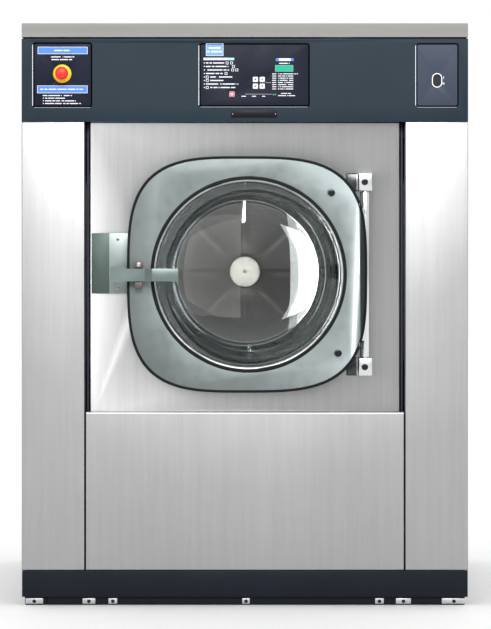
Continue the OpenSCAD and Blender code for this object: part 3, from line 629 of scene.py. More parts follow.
def words(left, right, z, height, rng):
    """Bars of random word length that fill a line of print from left to right."""
    count = max(1, int((right - left) / (3.2 * height)))
    cuts = np.sort(rng.uniform(left, right, count - 1))
    starts, ends = np.append(left, cuts + 0.35 * height), np.append(cuts - 0.35 * height, right)
    keep = ends - starts > 0.4 * height
    starts, ends = starts[keep], ends[keep]
    return np.stack([starts, ends, np.full(len(starts), z - 0.36 * height),
                     np.full(len(starts), z + 0.36 * height)], 1)


class Print:
    """Print on a plate: bars placed in millimetres from the plate's left and top edge."""

    def __init__(self, node):
        self.low, self.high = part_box(node)
        self.wide, self.tall = (self.high.x - self.low.x) / MM, (self.high.z - self.low.z) / MM
        self.node, self.face, self.layers = node, self.low.y, {}

    def across(self, *places):
        """X of places measured from the left edge."""
        return [self.low.x + place * MM for place in places]

    def down(self, *places):
        """Z of places measured from the top edge."""
        return [self.high.z - place * MM for place in places]

    def add(self, ink, make, shape, rise):
        """A shape that stands as far out of the plate as its ink rises."""
        part = make(shape, self.face - rise, self.face + SINK)
        self.layers.setdefault(ink, []).append(part)

    def bar(self, ink, left, right, top, bottom, rise=INK_RISE):
        """A plain bar."""
        self.add(ink, bricks, [*self.across(left, right), *self.down(bottom, top)], rise)

    def line(self, ink, left, right, top, height, rng, rise=INK_RISE):
        """A line of print, by the height of its middle under the top edge."""
        self.add(ink, bricks, words(*self.across(left, right), *self.down(top), height * MM, rng),
                 rise)

    def outline(self, ink, left, right, top, bottom, width, corner=0.5, rise=INK_RISE):
        """A thin frame round a rectangle."""
        shape = rectangle(*self.across(left, right), *self.down(bottom, top), corner * MM)
        self.add(ink, lambda line, front, back: frame_line(line, width * MM, front, back), shape,
                 rise)

    def ink_in(self, inks):
        """Makes one piece of all the print in one ink."""
        for ink, parts in self.layers.items():
            piece(f"{self.node}_print_{ink}", "cabinet", inks[ink], SLOT_OF[self.node], *parts)


class LAUNDRY_OT_plates(bpy.types.Operator):
    """Control plates with their print, and the blank name plate"""
    bl_idname = "laundry.plates"
    bl_label = "Control plates"

    def execute(self, context):
        s = settings().controls
        rng = np.random.default_rng(4)
        inks = {
            "white": moulded("White print", s.ink, 0.5),
            "black": moulded("Black line", (0.001, 0.001, 0.002), 0.6, shine=0.0),
            "badge": moulded("Badge blue", (0.11, 0.26, 0.72), 0.5),
            "grey": moulded("Grey print", tuple(0.45 * c for c in s.ink), 0.5),
            "blue": moulded("Blue print", s.blue, 0.45),
            "pale": moulded("Pale blue print", (0.30, 0.50, 0.80), 0.45),
            "teal": moulded("Readout window", s.teal, 0.15),
            "red": moulded("Red print", s.red, 0.45),
            "green": moulded("Green print", (0.03, 0.35, 0.12), 0.4)}
        for node, name, colour in (("estop_plate", "Stop plate film", s.stop_plate),
                                   ("display_plate", "Display plate film", s.display),
                                   ("switch_plate", "Switch plate film", s.switch)):
            dress(painted(name, colour, 0.5, size=1200, depth=1e-5), node, edge=0.0006)
        self.stop_print(inks, rng)
        self.display_print(inks, rng)
        self.switch_print(inks)
        dress(painted("Name plate", (0.004, 0.004, 0.007), 0.4), "name_plate", edge=0.0003)
        name = Print("name_plate")
        for left in (3, name.wide - 5):
            name.bar("grey", left, left + 2, 8, 11.5)
        name.ink_in(inks)
        return {"FINISHED"}

    def stop_print(self, inks, rng):
        """Two blue banners, the lines under them, and a painted highlight, a light line, at the
        left and lower edge.
        """
        p = Print("estop_plate")
        for left, right, top, bottom in ((15, 150, 12, 31.5), (13.5, 150, 117, 137.5)):
            p.bar("blue", left, right, top, bottom)
            p.outline("white", left, right, top, bottom, 1.2, rise=BORDER_RISE)
        p.line("white", 60, 105, 21.8, 4.5, rng, rise=OVERPRINT)
        p.line("white", 22, 142, 127, 4.2, rng, rise=OVERPRINT)
        p.line("white", 51, 114, 39.3, 3.6, rng)
        p.line("white", 52, 111, 46.6, 3.6, rng)
        for row, (left, right) in enumerate(((28.5, 108), (35, 89), (35, 118), (35, 132))):
            p.line("white", left, right, 144 + 7.2 * row, 3.4, rng)
            if row:
                p.bar("white", 29, 31.6, 142.8 + 7.2 * row, 145.2 + 7.2 * row)
        self.border(p)
        p.ink_in(inks)

    def border(self, p):
        """A black line round a plate, and a painted highlight, a light line outside it, at the left
        and lower edges.
        """
        p.outline("black", 2.6, p.wide - 0.6, 0.6, p.tall - 2.6, 3.4, corner=7)
        # Painted highlight: light bars along the plate's left and lower edges.
        p.bar("white", 0.2, 2.0, 6, p.tall - 6)
        p.bar("grey", 6, p.wide - 6, p.tall - 1.6, p.tall - 0.3)

    def display_print(self, inks, rng):
        """A list of steps with small symbols, the key legend, the readout and the program list."""
        p = Print("display_plate")
        self.border(p)
        p.bar("badge", 20.5, 67.7, 1.5, 34.5)
        p.outline("white", 20.5, 67.7, 1.0, 34.5, 1.2, rise=BORDER_RISE)
        p.line("white", 28, 60, 13, 6, rng, rise=OVERPRINT)
        p.line("white", 24, 64, 23, 6, rng, rise=OVERPRINT)
        p.bar("white", 14, 76, 39.6, 46)
        p.bar("pale", 76, 97, 39.6, 46)
        p.line("grey", 17, 73, 42.8, 3.2, rng, rise=OVERPRINT)
        rows = ((20.5, 70, (78, 90)), (20.5, 85, (95,)), (20.5, 83, (93, 104)), (20.5, 66, (75,)),
                (32, 92, (24,)), (32, 70, (24,)), (20.5, 108, ()), (32, 100, (24,)))
        for row, (left, right, symbols) in enumerate(rows):
            middle = 53.7 + 9.5 * row
            p.line("white", left, right, middle, 4.0, rng)
            p.bar("white", 15, 17.6, middle - 1.4, middle + 1.4)
            for at in symbols:
                p.bar("white", at - 3.6, at + 3.6, middle - 3.6, middle + 3.6)
                p.bar("black", at - 2.1, at + 2.1, middle - 2.3, middle + 2.3, rise=OVERPRINT)
        p.bar("grey", 180, 197, 106.2, 107.4)
        p.bar("blue", 210, 258, 41, 48.5)
        p.bar("white", 218, 250, 41.3, 48.2, rise=OVERPRINT)
        p.line("white", 219, 247, 54.7, 3.6, rng)
        p.bar("teal", 209, 256, 60.5, 76)
        p.outline("grey", 208, 257, 59.5, 77, 1.0, rise=BORDER_RISE)
        for row in range(8):
            middle = 83.2 + 5.85 * row
            p.line("white", 200, 211, middle, 3.0, rng)
            p.line("white", 216, 270 if row == 0 else 257, middle, 3.0, rng)
        p.bar("grey", 127, 199, 137.6, 138.8)
        for left, right in ((117, 129), (145, 156), (173, 181)):
            p.line("white", left, right, 144, 3.0, rng)
        for at in (203.4, 209):
            p.bar("green", at - 1.6, at + 1.6, 137.6, 140.8)
        p.line("white", 224, 251, 136.3, 3.0, rng)
        p.line("white", 216, 262, 142.3, 3.0, rng)
        p.ink_in(inks)

    def switch_print(self, inks):
        """The marks for on and off beside the rocker, one above its middle and one below."""
        p = Print("switch_plate")
        self.border(p)
        low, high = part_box("power_rocker")
        x, z = (low.x + high.x) / 2, (low.z + high.z) / 2
        left, top = (x - p.low.x) / MM, (p.high.z - z) / MM
        p.bar("white", left + 17, left + 18.4, top - 12, top - 5)
        p.outline("white", left + 14.5, left + 20.5, top + 5, top + 11, 1.3, corner=3)
        p.ink_in(inks)


class LAUNDRY_OT_stop_button(bpy.types.Operator):
    """Mushroom stop button: red domed head, yellow collar and dark stem"""
    bl_idname = "laundry.stop_button"
    bl_label = "Stop button"

    def execute(self, context):
        s = settings().controls
        x, _, z = JOINTS["stop_twist"]["pos_m"]
        low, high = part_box("estop_head")
        r, face, rim = (high.x - low.x) / 2, low.y, low.y + 0.012
        t = np.linspace(0, 1, 9)
        dome = np.stack([0.93 * r * np.sin(t * np.pi / 2),
                         face + 0.55 * (rim - face) * (1 - np.cos(t * np.pi / 2))], 1)
        skirt = soften([[0.93 * r, dome[-1, 1]], [r, rim - 0.003], [r, rim + 0.005],
                        [0.86 * r, rim + 0.009], [0.74 * r, high.y], [0, high.y]], 0.002,
                       closed=False)
        red = polished("Stop red", s.red, 0.42, (0.97, 1.03), (0.36, 0.48), Specular_IOR_Level=0.3)
        piece("stop_head", BODY_OF["estop_head"], red, SLOT_OF["estop_head"],
              turn(np.concatenate([dome, skirt]), x, z, 64, close=False), replaces=("estop_head",))
        arrows = [self.arrow(x, z, 0.5 * r, 0.66 * r, a, face) for a in (0.3, 2.4, 4.5)]
        lighter = moulded("Arrow red", tuple(min(1.0, 1.1 * c + 0.03) for c in s.red), 0.45)
        piece("stop_head_arrows", BODY_OF["estop_head"], lighter, SLOT_OF["estop_head"], *arrows)
        low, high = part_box("estop_collar")
        r = (high.x - low.x) / 2
        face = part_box("estop_plate")[0].y
        inner = 0.0095
        ring = soften([[inner, low.y], [0.84 * r, low.y], [r, face - 0.0018], [r, face],
                       [inner, face]], 0.0012)
        yellow = polished("Stop yellow", s.yellow, 0.33, (0.96, 1.03), (0.28, 0.4))
        piece("stop_collar", BODY_OF["estop_collar"], yellow, SLOT_OF["estop_collar"],
              turn(ring, x, z, 72), replaces=("estop_collar",))
        dress(moulded("Stem black", (0.02, 0.02, 0.022), 0.4), "estop_stem", edge=0.0005)
        return {"FINISHED"}

    def arrow(self, x, z, r0, r1, start, face):
        """A curved raised arrow: a band between two radii that widens to a head and runs to a tip,
        laid on the dome."""
        t = np.linspace(0, 1, 13)
        half = np.where(t < 0.68, 0.16, 0.42 * (1 - t) / 0.32) * (r1 - r0)
        middle, angle = (r0 + r1) / 2, start + 1.15 * t
        dome_r, dome_rise = 0.93 * 0.0175, 0.0066
        dome = face + dome_rise * (1 - np.sqrt(np.clip(1 - (middle / dome_r) ** 2, 0, 1)))
        radii = np.stack([middle - half, middle + half, middle + half, middle - half], 1)
        y = dome + np.array([-0.0004, -0.0004, 0.0006, 0.0006]) + 0 * radii
        a = angle[:, None] + 0 * radii
        return skin(np.stack([x + radii * np.cos(a), y, z + radii * np.sin(a)], -1), caps=True)


class LAUNDRY_OT_keys(bpy.types.Operator):
    """Soft white keys with a mark on each, and the start key with its red border"""
    bl_idname = "laundry.keys"
    bl_label = "Keys"

    def execute(self, context):
        s = settings().controls
        white = moulded("Key white", s.key, 0.4)
        dark = moulded("Key mark", (0.05, 0.05, 0.07), 0.5)
        red = moulded("Key red", tuple(0.8 * c for c in s.red), 0.45)
        turns = {"key_top_left": 0.5, "key_top_right": -0.5, "key_low_left": 1.0,
                 "key_low_right": 0.0}
        for node, half_turns in turns.items():
            x, z, half, face = self.cushion(node, white)
            mark = self.wedge(x, z, 0.52 * half, face, half_turns * math.pi)
            piece(node + "_mark", BODY_OF[node], dark, SLOT_OF[node], mark)
        x, z, half, face = self.cushion("start_key", white)
        reach, w, h = 0.86 * half, 0.12 * half, 0.5 * half
        border = rectangle(x - reach, x + reach, z - reach, z + reach, 0.0015)
        bar = bricks([x - w, x + w, z - h, z + h], face - 0.0003, face + 0.0004)
        piece("start_key_mark", BODY_OF["start_key"], red, SLOT_OF["start_key"],
              frame_line(border, 0.0026, face - 0.0003, face + 0.0006), bar)
        return {"FINISHED"}

    def cushion(self, node, material):
        """A key with a softly domed face: outlines that shrink towards the middle as they come
        forward."""
        low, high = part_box(node)
        x, z, half = (low.x + high.x) / 2, (low.z + high.z) / 2, (high.x - low.x) / 2
        outline = rectangle(low.x, high.x, low.z, high.z, 0.0022)
        rows = [(0.6 * half, low.y), (0.35 * half, low.y + 0.0001),
                (0.14 * half, low.y + 0.0004), (0.04 * half, low.y + 0.001),
                (0.0, low.y + 0.002), (0.0, high.y)]
        rings = [in_xz(outline(i), y) for i, y in rows]
        piece(node + "_cap", BODY_OF[node], material, SLOT_OF[node], skin(rings, caps=True),
              replaces=(node,))
        return x, z, half, low.y

    def wedge(self, x, z, r, front, angle):
        """A raised triangle that points along the angle."""
        a = angle + np.array([0, 2, 4]) * np.pi / 3
        loop = np.stack([x + r * np.cos(a), z + r * np.sin(a)], 1)
        return skin([in_xz(loop, front - 0.0003), in_xz(loop, front + 0.0006)], caps=True)


class LAUNDRY_OT_rocker(bpy.types.Operator):
    """Rocker switch with a dished face, in its bezel"""
    bl_idname = "laundry.rocker"
    bl_label = "Rocker switch"

    def execute(self, context):
        black = moulded("Rocker black", (0.012, 0.012, 0.014), 0.28)
        bezel = moulded("Bezel", (0.66, 0.68, 0.70), 0.35)
        dress(black, "power_rocker", edge=0.0008)
        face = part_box("switch_plate")[0].y
        x, _, z = JOINTS["power_rock"]["pos_m"]
        half_width, half_height, margin = 0.00975, 0.0155, 0.0042
        w, h = half_width + margin, half_height + margin
        outline = rectangle(x - w, x + w, z - h, z + h, w - 0.0001, 13)
        rows = [(0.0, -SINK), (0.0, 0.0012), (0.0008, 0.002), (0.0022, 0.002), (0.0028, 0.0012),
                (0.0028, -SINK)]
        piece("rocker_bezel", "cabinet", bezel, SLOT_OF["switch_plate"],
              skin([in_xz(outline(i), face - rise) for i, rise in rows], close_rows=True))
        return {"FINISHED"}


# Door

class LAUNDRY_OT_door_frame(bpy.types.Operator):
    """Satin door frame with a soft edge and a painted dark reflection past its crease, its rubber
    edge strip that doubles as a painted shadow gap, glass ring and cap screws
    """
    bl_idname = "laundry.door_frame"
    bl_label = "Door frame"

    def execute(self, context):
        s = settings().door
        low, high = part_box("door_frame")
        front = low.y
        crease = max(v.co.x for v in NODES["door_frame"].data.vertices if v.co.y < front + 1e-4)
        f = Finish("Door metal", s.metal, 0.45, Metallic=0.85, Specular_IOR_Level=0.3)
        pitted(f, 0.03, 0.40, 0.50).tint(f.noise(9, 4.0), 0.97, 1.03)
        # Painted reflection: past the crease, where the face falls back to the hinge, the metal is
        # coloured almost black.
        f.across(crease + 0.001, crease + 0.004, 0, 0.9, (0.006, 0.010, 0.009))
        dress(f.material, "door_frame", edge=0.0006, fold=s.edge,
              at_fold=lambda co: co.y < front + 1e-4)
        dress(satin("Glass ring", (0.50, 0.52, 0.52), 0.30), "door_ring", edge=0.001)
        # The black edge strip is partly painted shade, standing for the shadow gap round the door.
        self.edge_strip_and_gap_shade(low, high, moulded("Edge rubber", s.rubber, 0.6, shine=0.1))
        black = satin("Black oxide", (0.03, 0.03, 0.04), 0.3)
        piece("door_cap_screws", "door", black, SLOT_OF["door_screws"],
              *(screw_in_box(*corners) for corners in islands("door_screws")),
              replaces=("door_screws",))
        return {"FINISHED"}

    def edge_strip_and_gap_shade(self, low, high, rubber):
        """A black rubber strip round the frame's edge, partly painted shade: it also stands for the
        shadow gap round the door. It is a rounded section carried along the outline, which is a
        superellipse with its own reach to each side, set back where the face falls away."""
        power, inside, outside, before, behind = 3.4, -0.0062, 0.0008, -0.0008, 0.011
        co = np.array([v.co for v in NODES["door_frame"].data.vertices])
        crown = co[np.argmax(co[:, 2] - 10 * np.abs(co[:, 1] - low.y))]
        crease = co[co[:, 1] < low.y + 1e-4][:, 0].max()
        middle = (low.z + high.z) / 2
        a = np.linspace(0, 2 * np.pi, 360, endpoint=False)
        c, d = np.cos(a), np.sin(a)

        def loop(grow):
            reach = np.where(c < 0, crown[0] - low.x, high.x - crown[0]) + grow
            return (crown[0] + reach * np.sign(c) * np.abs(c) ** (2 / power),
                    middle + (high.z - middle + grow) * np.sign(d) * np.abs(d) ** (2 / power))
        section = soften([[inside, before], [outside, before], [outside, behind], [inside, behind]],
                         0.0006)
        rings = []
        for out, back in section:
            x, z = loop(out)
            y = low.y + back + np.maximum(0, np.minimum(x, high.x) - crease)
            rings.append(np.stack([x, y, z], 1))
        piece("door_edge_strip", "door", rubber, SLOT_OF["door_seal"], skin(rings, close_rows=True))


class LAUNDRY_OT_glass(bpy.types.Operator):
    """Glass bowl with a curved bottom, its black seal and the rubber bellows behind it"""
    bl_idname = "laundry.glass"
    bl_label = "Glass bowl and rubber"

    def execute(self, context):
        s = settings().door
        low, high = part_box("door_glass")
        x, z, rim_r = (low.x + high.x) / 2, (low.z + high.z) / 2, (high.x - low.x) / 2
        drum_z = JOINTS["drum_spin"]["pos_m"][2]
        rim, pole = low.y, high.y
        rim_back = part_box("door_ring")[0].y
        foot = rim_r * 0.763
        t = np.linspace(0, 1, 14)[1:]
        wall, sag = s.wall, s.sag
        cap = (foot ** 2 + sag ** 2) / (2 * sag)

        def bowl(inset):
            """Radius and depth from the foot of the wall to the pole, on a sphere through both."""
            r = (foot - inset) * (1 - t)
            return np.stack([r, pole - inset - (cap - np.sqrt(cap ** 2 - r ** 2))], 1)
        outer = [[rim_r, rim], [rim_r, rim_back], [rim_r - 0.012, rim_back],
                 [foot + 0.003, pole - sag]]
        inner = [[rim_r, rim], [rim_r - 0.019, rim], [foot - wall * 0.8, pole - sag - wall]]
        outer, inner = (
            np.concatenate([soften(edge + [bowl(inset)[1]], reach, 5, closed=False)[:-1],
                            bowl(inset)[1:]])
            for edge, inset, reach in ((outer, 0, 0.007), (inner, wall, 0.006)))
        profile = np.concatenate([inner[::-1], outer])
        lean = np.clip((profile[:, 1] - rim) / (pole - rim), 0, 1)
        glass = self.glass(s)
        piece("glass_bowl", "door", glass, SLOT_OF["door_glass"],
              turn(profile, x - 0.7 * x * lean, z + 0.75 * (drum_z - z) * lean, 192, close=False),
              replaces=("door_glass",), smooth=60)
        self.seal(x, z, moulded("Seal rubber", s.rubber, 0.55, shine=0.12))
        self.bellows(x, z, drum_z, moulded("Bellows rubber", (0.028, 0.028, 0.029), 0.42))
        return {"FINISHED"}

    def glass(self, s):
        """Clear glass: mostly see-through face on, and mirror-like where it turns away, with a
        painted highlight round the foot of the wall: a thin ring turned almost opaque mirror."""
        f = Finish("Bowl glass", s.glass, 0.02, Metallic=1.0)
        facing = f.add("LayerWeight", 0.45).outputs["Facing"]
        # Painted highlight: a thin ring at the foot of the wall where the glass turns almost opaque
        # mirror.
        off = f.math("ABSOLUTE", f.math("SUBTRACT", f.polar(0.0, s.highlight_z)[0], s.highlight_r))
        line = f.span(off, 0.0006, 0.0020, 0.8, 0.0)
        f.feed(f.surface.inputs["Alpha"],
               f.math("MAXIMUM", line, f.span(facing, 0.0, 1.0, s.veil, 0.85)))
        return f.rub(f.noise(7, 3.0), 0.012, 0.03).material

    def seal(self, x, z, rubber):
        """A black ring with a rolled lip between the frame and the glass."""
        low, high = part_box("door_seal")
        r, inner, lip = (high.x - low.x) / 2, (high.x - low.x) / 2 - 0.0095, low.y
        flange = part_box("door_glass")[0].y
        rim = (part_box("door_glass")[1].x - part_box("door_glass")[0].x) / 2
        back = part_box("door_ring")[0].y
        profile = soften([[inner, lip - 0.001], [r - 0.0003, lip - 0.001], [r - 0.0003, back],
                          [rim + 0.0003, back], [rim + 0.0003, flange - 0.0003],
                          [inner, flange - 0.0003]], 0.0022)
        piece("seal_ring", "door", rubber, SLOT_OF["door_seal"], turn(profile, x, z, 160),
              replaces=("door_seal",))

    def bellows(self, x, z, drum_z, rubber):
        """A rubber sleeve whose radius swells and shrinks in folds as its axis leans from the door
        opening to the tub's mouth."""
        low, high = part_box("door_bellows")
        t = np.linspace(0, 1, 61)
        y = low.y + 0.001 + (high.y - low.y - 0.0015) * t
        folds, waist = 3, 0.262
        swell = np.sin(np.pi * np.clip(t * 1.2, 0, 1)) ** 0.5
        r = waist + 0.010 * (1 - np.cos(2 * np.pi * folds * t)) * swell
        inside, outside = np.stack([r, y], 1), np.stack([r + 0.006, y], 1)[::-1]
        lips = np.array([[0.285, high.y - 0.0005], [0.285, high.y - 0.006]])
        profile = np.concatenate([inside, lips, outside[3:-4],
                                  [[0.288, low.y + 0.007], [0.288, low.y + 0.001]]])
        lean = np.clip((profile[:, 1] - low.y) / (high.y - low.y), 0, 1)
        obj = piece("bellows", "cabinet", rubber, SLOT_OF["door_bellows"],
                    turn(profile, x * (1 - lean), z + (drum_z - z) * lean, 160),
                    replaces=("door_bellows",), smooth=50)
        blend_upwards(obj)


def blend_upwards(obj):
    """Takes a soft piece off its body, with its place baked into its mesh."""
    obj.parent = None
    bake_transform(obj)


class LAUNDRY_OT_handle(bpy.types.Operator):
    """Handle strap, its ears, the striker, the lock cover and the bolt"""
    bl_idname = "laundry.handle"
    bl_label = "Handle and lock"

    def execute(self, context):
        s = settings().door
        strap = satin("Handle metal", s.handle, 0.38, metallic=0.7)
        ear = satin("Ear metal", s.ear, 0.45, metallic=0.4)
        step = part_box("lock_housing")[0].x + 0.049
        lock = Finish("Lock cover", s.lock, 0.40, Metallic=0.7, Specular_IOR_Level=0.3)
        # Painted shade: the sloped outer part of the cover, left of step, takes the darker colour.
        pitted(lock, 0.04, 0.36, 0.46).across(step - 0.0006, step + 0.0006, 1, 0, s.lock_slope_shade)
        dress(strap, "door_handle", edge=0.0014)
        dress(strap, "door_striker", edge=0.0008)
        dress(ear, "handle_bracket", edge=0.0018)
        dress(lock.material, "lock_housing", edge=0.0008)
        dress(satin("Bolt zinc", (0.55, 0.56, 0.57), 0.35), "lock_bolt", edge=0.0012)
        self.ear_screws()
        self.lock_screws()
        return {"FINISHED"}

    def ear_screws(self):
        """A bright cap screw on the upper ear."""
        steel = satin("Bright screw", (0.62, 0.62, 0.60), 0.25)
        low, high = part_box("handle_bracket")
        x, z = (low.x + high.x) / 2, (low.z + high.z) / 2 + 0.0275
        piece("ear_screws", "door", steel, SLOT_OF["handle_bracket"],
              socket_screw(x, z, low.y - 0.0022, 0.0052, 0.0035))

    def lock_screws(self):
        """Two small screws in the lock cover."""
        low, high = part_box("lock_housing")
        steel = satin("Lock screw", (0.40, 0.42, 0.41), 0.3)
        x, front = low.x + 0.072, low.y
        parts = [socket_screw(x, z, front - 0.0015, 0.0045, 0.003)
                 for z in (low.z + 0.016, high.z - 0.016)]
        piece("lock_screws", "cabinet", steel, SLOT_OF["lock_housing"], *parts)


class LAUNDRY_OT_hinge(bpy.types.Operator):
    """Polished hinge tube, the blocks that hold it and their cap screws, and the foot screws"""
    bl_idname = "laundry.hinge"
    bl_label = "Hinge and screws"

    def execute(self, context):
        s = settings().door
        inner_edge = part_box("hinge_tube")[1].x - 0.037
        f = Finish("Hinge tube", s.tube, 0.16, Metallic=0.9)
        f.tint(f.noise((900, 900, 30)), 0.97, 1.02).rub(f.noise((20, 20, 8)), 0.13, 0.20)
        f.emboss(f.noise(900), 2e-6)
        dress(f.material, "hinge_tube", edge=0.0012)
        block = Finish("Hinge block", s.tube, 0.26, Metallic=1.0)
        pitted(block, 0.04, 0.22, 0.32, depth=1e-5)
        # Painted shade: the part of each block left of inner_edge, under the door's corner, is
        # coloured almost black.
        block.across(inner_edge, inner_edge + 0.002, 0.92, 0, (0.008, 0.013, 0.012))
        dress(block.material, "hinge_brackets", edge=0.003)
        black = satin("Hinge screw", (0.03, 0.03, 0.04), 0.3)
        found, feet_top = islands("cabinet_screws"), 0.3
        parts = [screw_in_box(low, high, 0.52) for low, high in found if low[2] > feet_top]
        parts += [screw_in_box(low, high) for low, high in found if low[2] < feet_top]
        piece("cabinet_cap_screws", "cabinet", black, SLOT_OF["cabinet_screws"], *parts,
              replaces=("cabinet_screws",))
        return {"FINISHED"}


# Drum, tub and drive

class LAUNDRY_OT_drum(bpy.types.Operator):
    """Drum with drain holes, pressed back, lifters, hub cap and shaft"""
    bl_idname = "laundry.drum"
    bl_label = "Drum"

    def execute(self, context):
        s = settings().drum
        x, _, z = JOINTS["drum_spin"]["pos_m"]
        low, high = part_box("drum_shell")
        r, rear, sheet = (high.x - low.x) / 2, high.y, 0.003
        front, lip, mouth_r = low.y + 0.010, low.y, 0.265
        profile = [[mouth_r - sheet, lip], [mouth_r + sheet, lip], [mouth_r + sheet, front],
                   [r, front], [r, rear], [r - sheet, rear], [r - sheet, front + sheet],
                   [mouth_r - sheet, front + sheet]]
        piece("drum_wall", "drum", self.drilled("Drilled drum steel", s, x, z),
              SLOT_OF["drum_shell"], turn(soften(profile, 0.004, 4), x, z, 192),
              replaces=("drum_shell",))
        self.back(s, x, z)
        dress(self.drilled("Lifter steel", s, x, z), "lifters", edge=0.008, segments=3)
        self.cap(s, x, z)
        dress(spun("Turned shaft", (0.5, 0.5, 0.5), 0.3, x, z), "drum_shaft", edge=0.001)
        return {"FINISHED"}

    def drilled(self, name, s, x, z):
        """Polished sheet with staggered drain holes: dark dots on a slanted grid of arc length and
        depth, kept off the flat front."""
        wall_r, flat_r = 0.455, 0.34
        # Painted shade: s.steel is the darkened drum colour that stands for the shade inside the
        # drum.
        f = Finish(name, s.steel, 0.22, Metallic=1.0)
        radius, angle, depth = f.polar(x, z)
        arc = f.math("MULTIPLY", angle, wall_r)
        grid = f.add("CombineXYZ", arc, depth).outputs[0]
        spot = f.add("Mapping", grid, None, (0, 0, math.pi / 4), (1 / s.pitch,) * 3).outputs[0]
        cells = f.add("TexVoronoi", voronoi_dimensions="2D")
        f.feed(cells.inputs["Vector"], spot)
        f.feed(cells.inputs["Scale"], 1.0)
        f.feed(cells.inputs["Randomness"], 0.0)
        hole = f.math("LESS_THAN", cells.outputs["Distance"], s.hole_r / s.pitch)
        mask = f.math("MULTIPLY", hole, f.math("GREATER_THAN", radius, flat_r))
        hair = f.noise((40, 900, 40), 2.0)
        f.tint(hair, 0.95, 1.05).stain(mask, (0.006, 0.006, 0.006))
        f.rub(f.noise(6, 3.0), 0.17, 0.27)
        return f.emboss(f.math("SUBTRACT", 1.0, mask), 6e-4).material

    def back(self, s, x, z):
        """The drum's back: a polar sheet of radius and angle, raised along each rib, with a flat
        sheet behind it."""
        low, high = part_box("drum_back")
        r = (high.x - low.x) / 2
        start, fade, rib_width, thick = 0.06, 0.03, 0.012, 0.005
        radii = np.concatenate([[0.0], np.linspace(fade, start, 3),
                                np.linspace(0.075, r - 0.035, 30),
                                np.linspace(r - fade, r, 5)])[:, None]
        a = np.linspace(0, 2 * np.pi, s.ribs * 40, endpoint=False)[None]
        phase = (a * s.ribs / (2 * np.pi) + 0.5) % 1 - 0.5
        off = np.abs(phase) * 2 * np.pi / s.ribs * radii
        ease = np.clip((radii - start) / fade, 0, 1) * np.clip((r - fade - radii) / fade, 0, 1)
        rise = s.rib_rise * np.exp(-(off / rib_width) ** 2) * ease ** 2

        def sheet(depth):
            """The polar grid at a depth, which may differ from point to point."""
            return np.stack([x + radii * np.cos(a), depth + 0 * rise, z + radii * np.sin(a)], -1)
        # The drum back also takes the darkened drum colour, painted shade for the inside of the
        # drum.
        metal = spun("Spun drum back", s.steel, 0.24, x, z, lines=600, contrast=0.05)
        piece("drum_back_pressing", "drum", metal, SLOT_OF["drum_back"],
              skin(np.concatenate([sheet(high.y - thick - rise), sheet(high.y)[::-1]])),
              replaces=("drum_back",), smooth=50)

    def cap(self, s, x, z):
        """A turned cap: a shallow cone with a rolled edge and a centre dimple."""
        low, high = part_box("hub_cap")
        r = (high.x - low.x) / 2
        profile = [[0.0, low.y + 0.0015], [0.003, low.y + 0.0015], [0.0045, low.y],
                   [r - 0.004, low.y + 0.002], [r - 0.001, low.y + 0.0035], [r, low.y + 0.007],
                   [r, high.y], [0.0, high.y]]
        metal = spun("Turned cap", s.cap, 0.24, x, z, lines=1500, contrast=0.05, anisotropy=0.85)
        piece("turned_hub_cap", "drum", metal, SLOT_OF["hub_cap"],
              turn(soften(profile, 0.0015, 4, closed=False), x, z, 96, close=False),
              replaces=("hub_cap",))


class LAUNDRY_OT_tub(bpy.types.Operator):
    """Tub, bearing housing and bearings"""
    bl_idname = "laundry.tub"
    bl_label = "Tub"

    def execute(self, context):
        s = settings().drum
        tub = satin("Pickled tub steel", s.tub, 0.42, contrast=0.08)
        dress(tub, "tub_shell", "tub_front", edge=0.0008)
        dress(painted("Housing paint", (0.10, 0.11, 0.12), 0.5, size=300, depth=1e-4),
              "bearing_housing", edge=0.002)
        dress(satin("Bearing steel", (0.6, 0.6, 0.6), 0.25), "bearings", edge=0.001)
        return {"FINISHED"}


class LAUNDRY_OT_drive(bpy.types.Operator):
    """Motor, pulleys and belts"""
    bl_idname = "laundry.drive"
    bl_label = "Drive"

    def execute(self, context):
        cast = painted("Pulley iron", (0.045, 0.048, 0.052), 0.5, size=260, depth=1e-4,
                       metallic=0.3)
        motor = painted("Motor paint", (0.07, 0.10, 0.13), 0.4, size=400, depth=5e-5)
        dress(cast, "drum_pulley", "motor_pulley", edge=0.0015)
        dress(moulded("Belt rubber", (0.014, 0.014, 0.015), 0.6), "v_belts", edge=0.0012)
        dress(motor, "motor_body", edge=0.004)
        x, _, z = JOINTS["motor_spin"]["pos_m"]
        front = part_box("motor_body")[0].y
        case_r, fin, height = 0.0949, 0.003, 0.014
        bar = bricks([x - fin / 2, x + fin / 2, z + case_r, z + case_r + height],
                     front + 0.03, front + 0.235)
        fins = [rotated(bar, (x, 0, z), 1, math.radians(a)) for a in np.arange(60, 301, 12.0)]
        piece("motor_fins", "tub", motor, SLOT_OF["motor_body"], *fins)
        return {"FINISHED"}


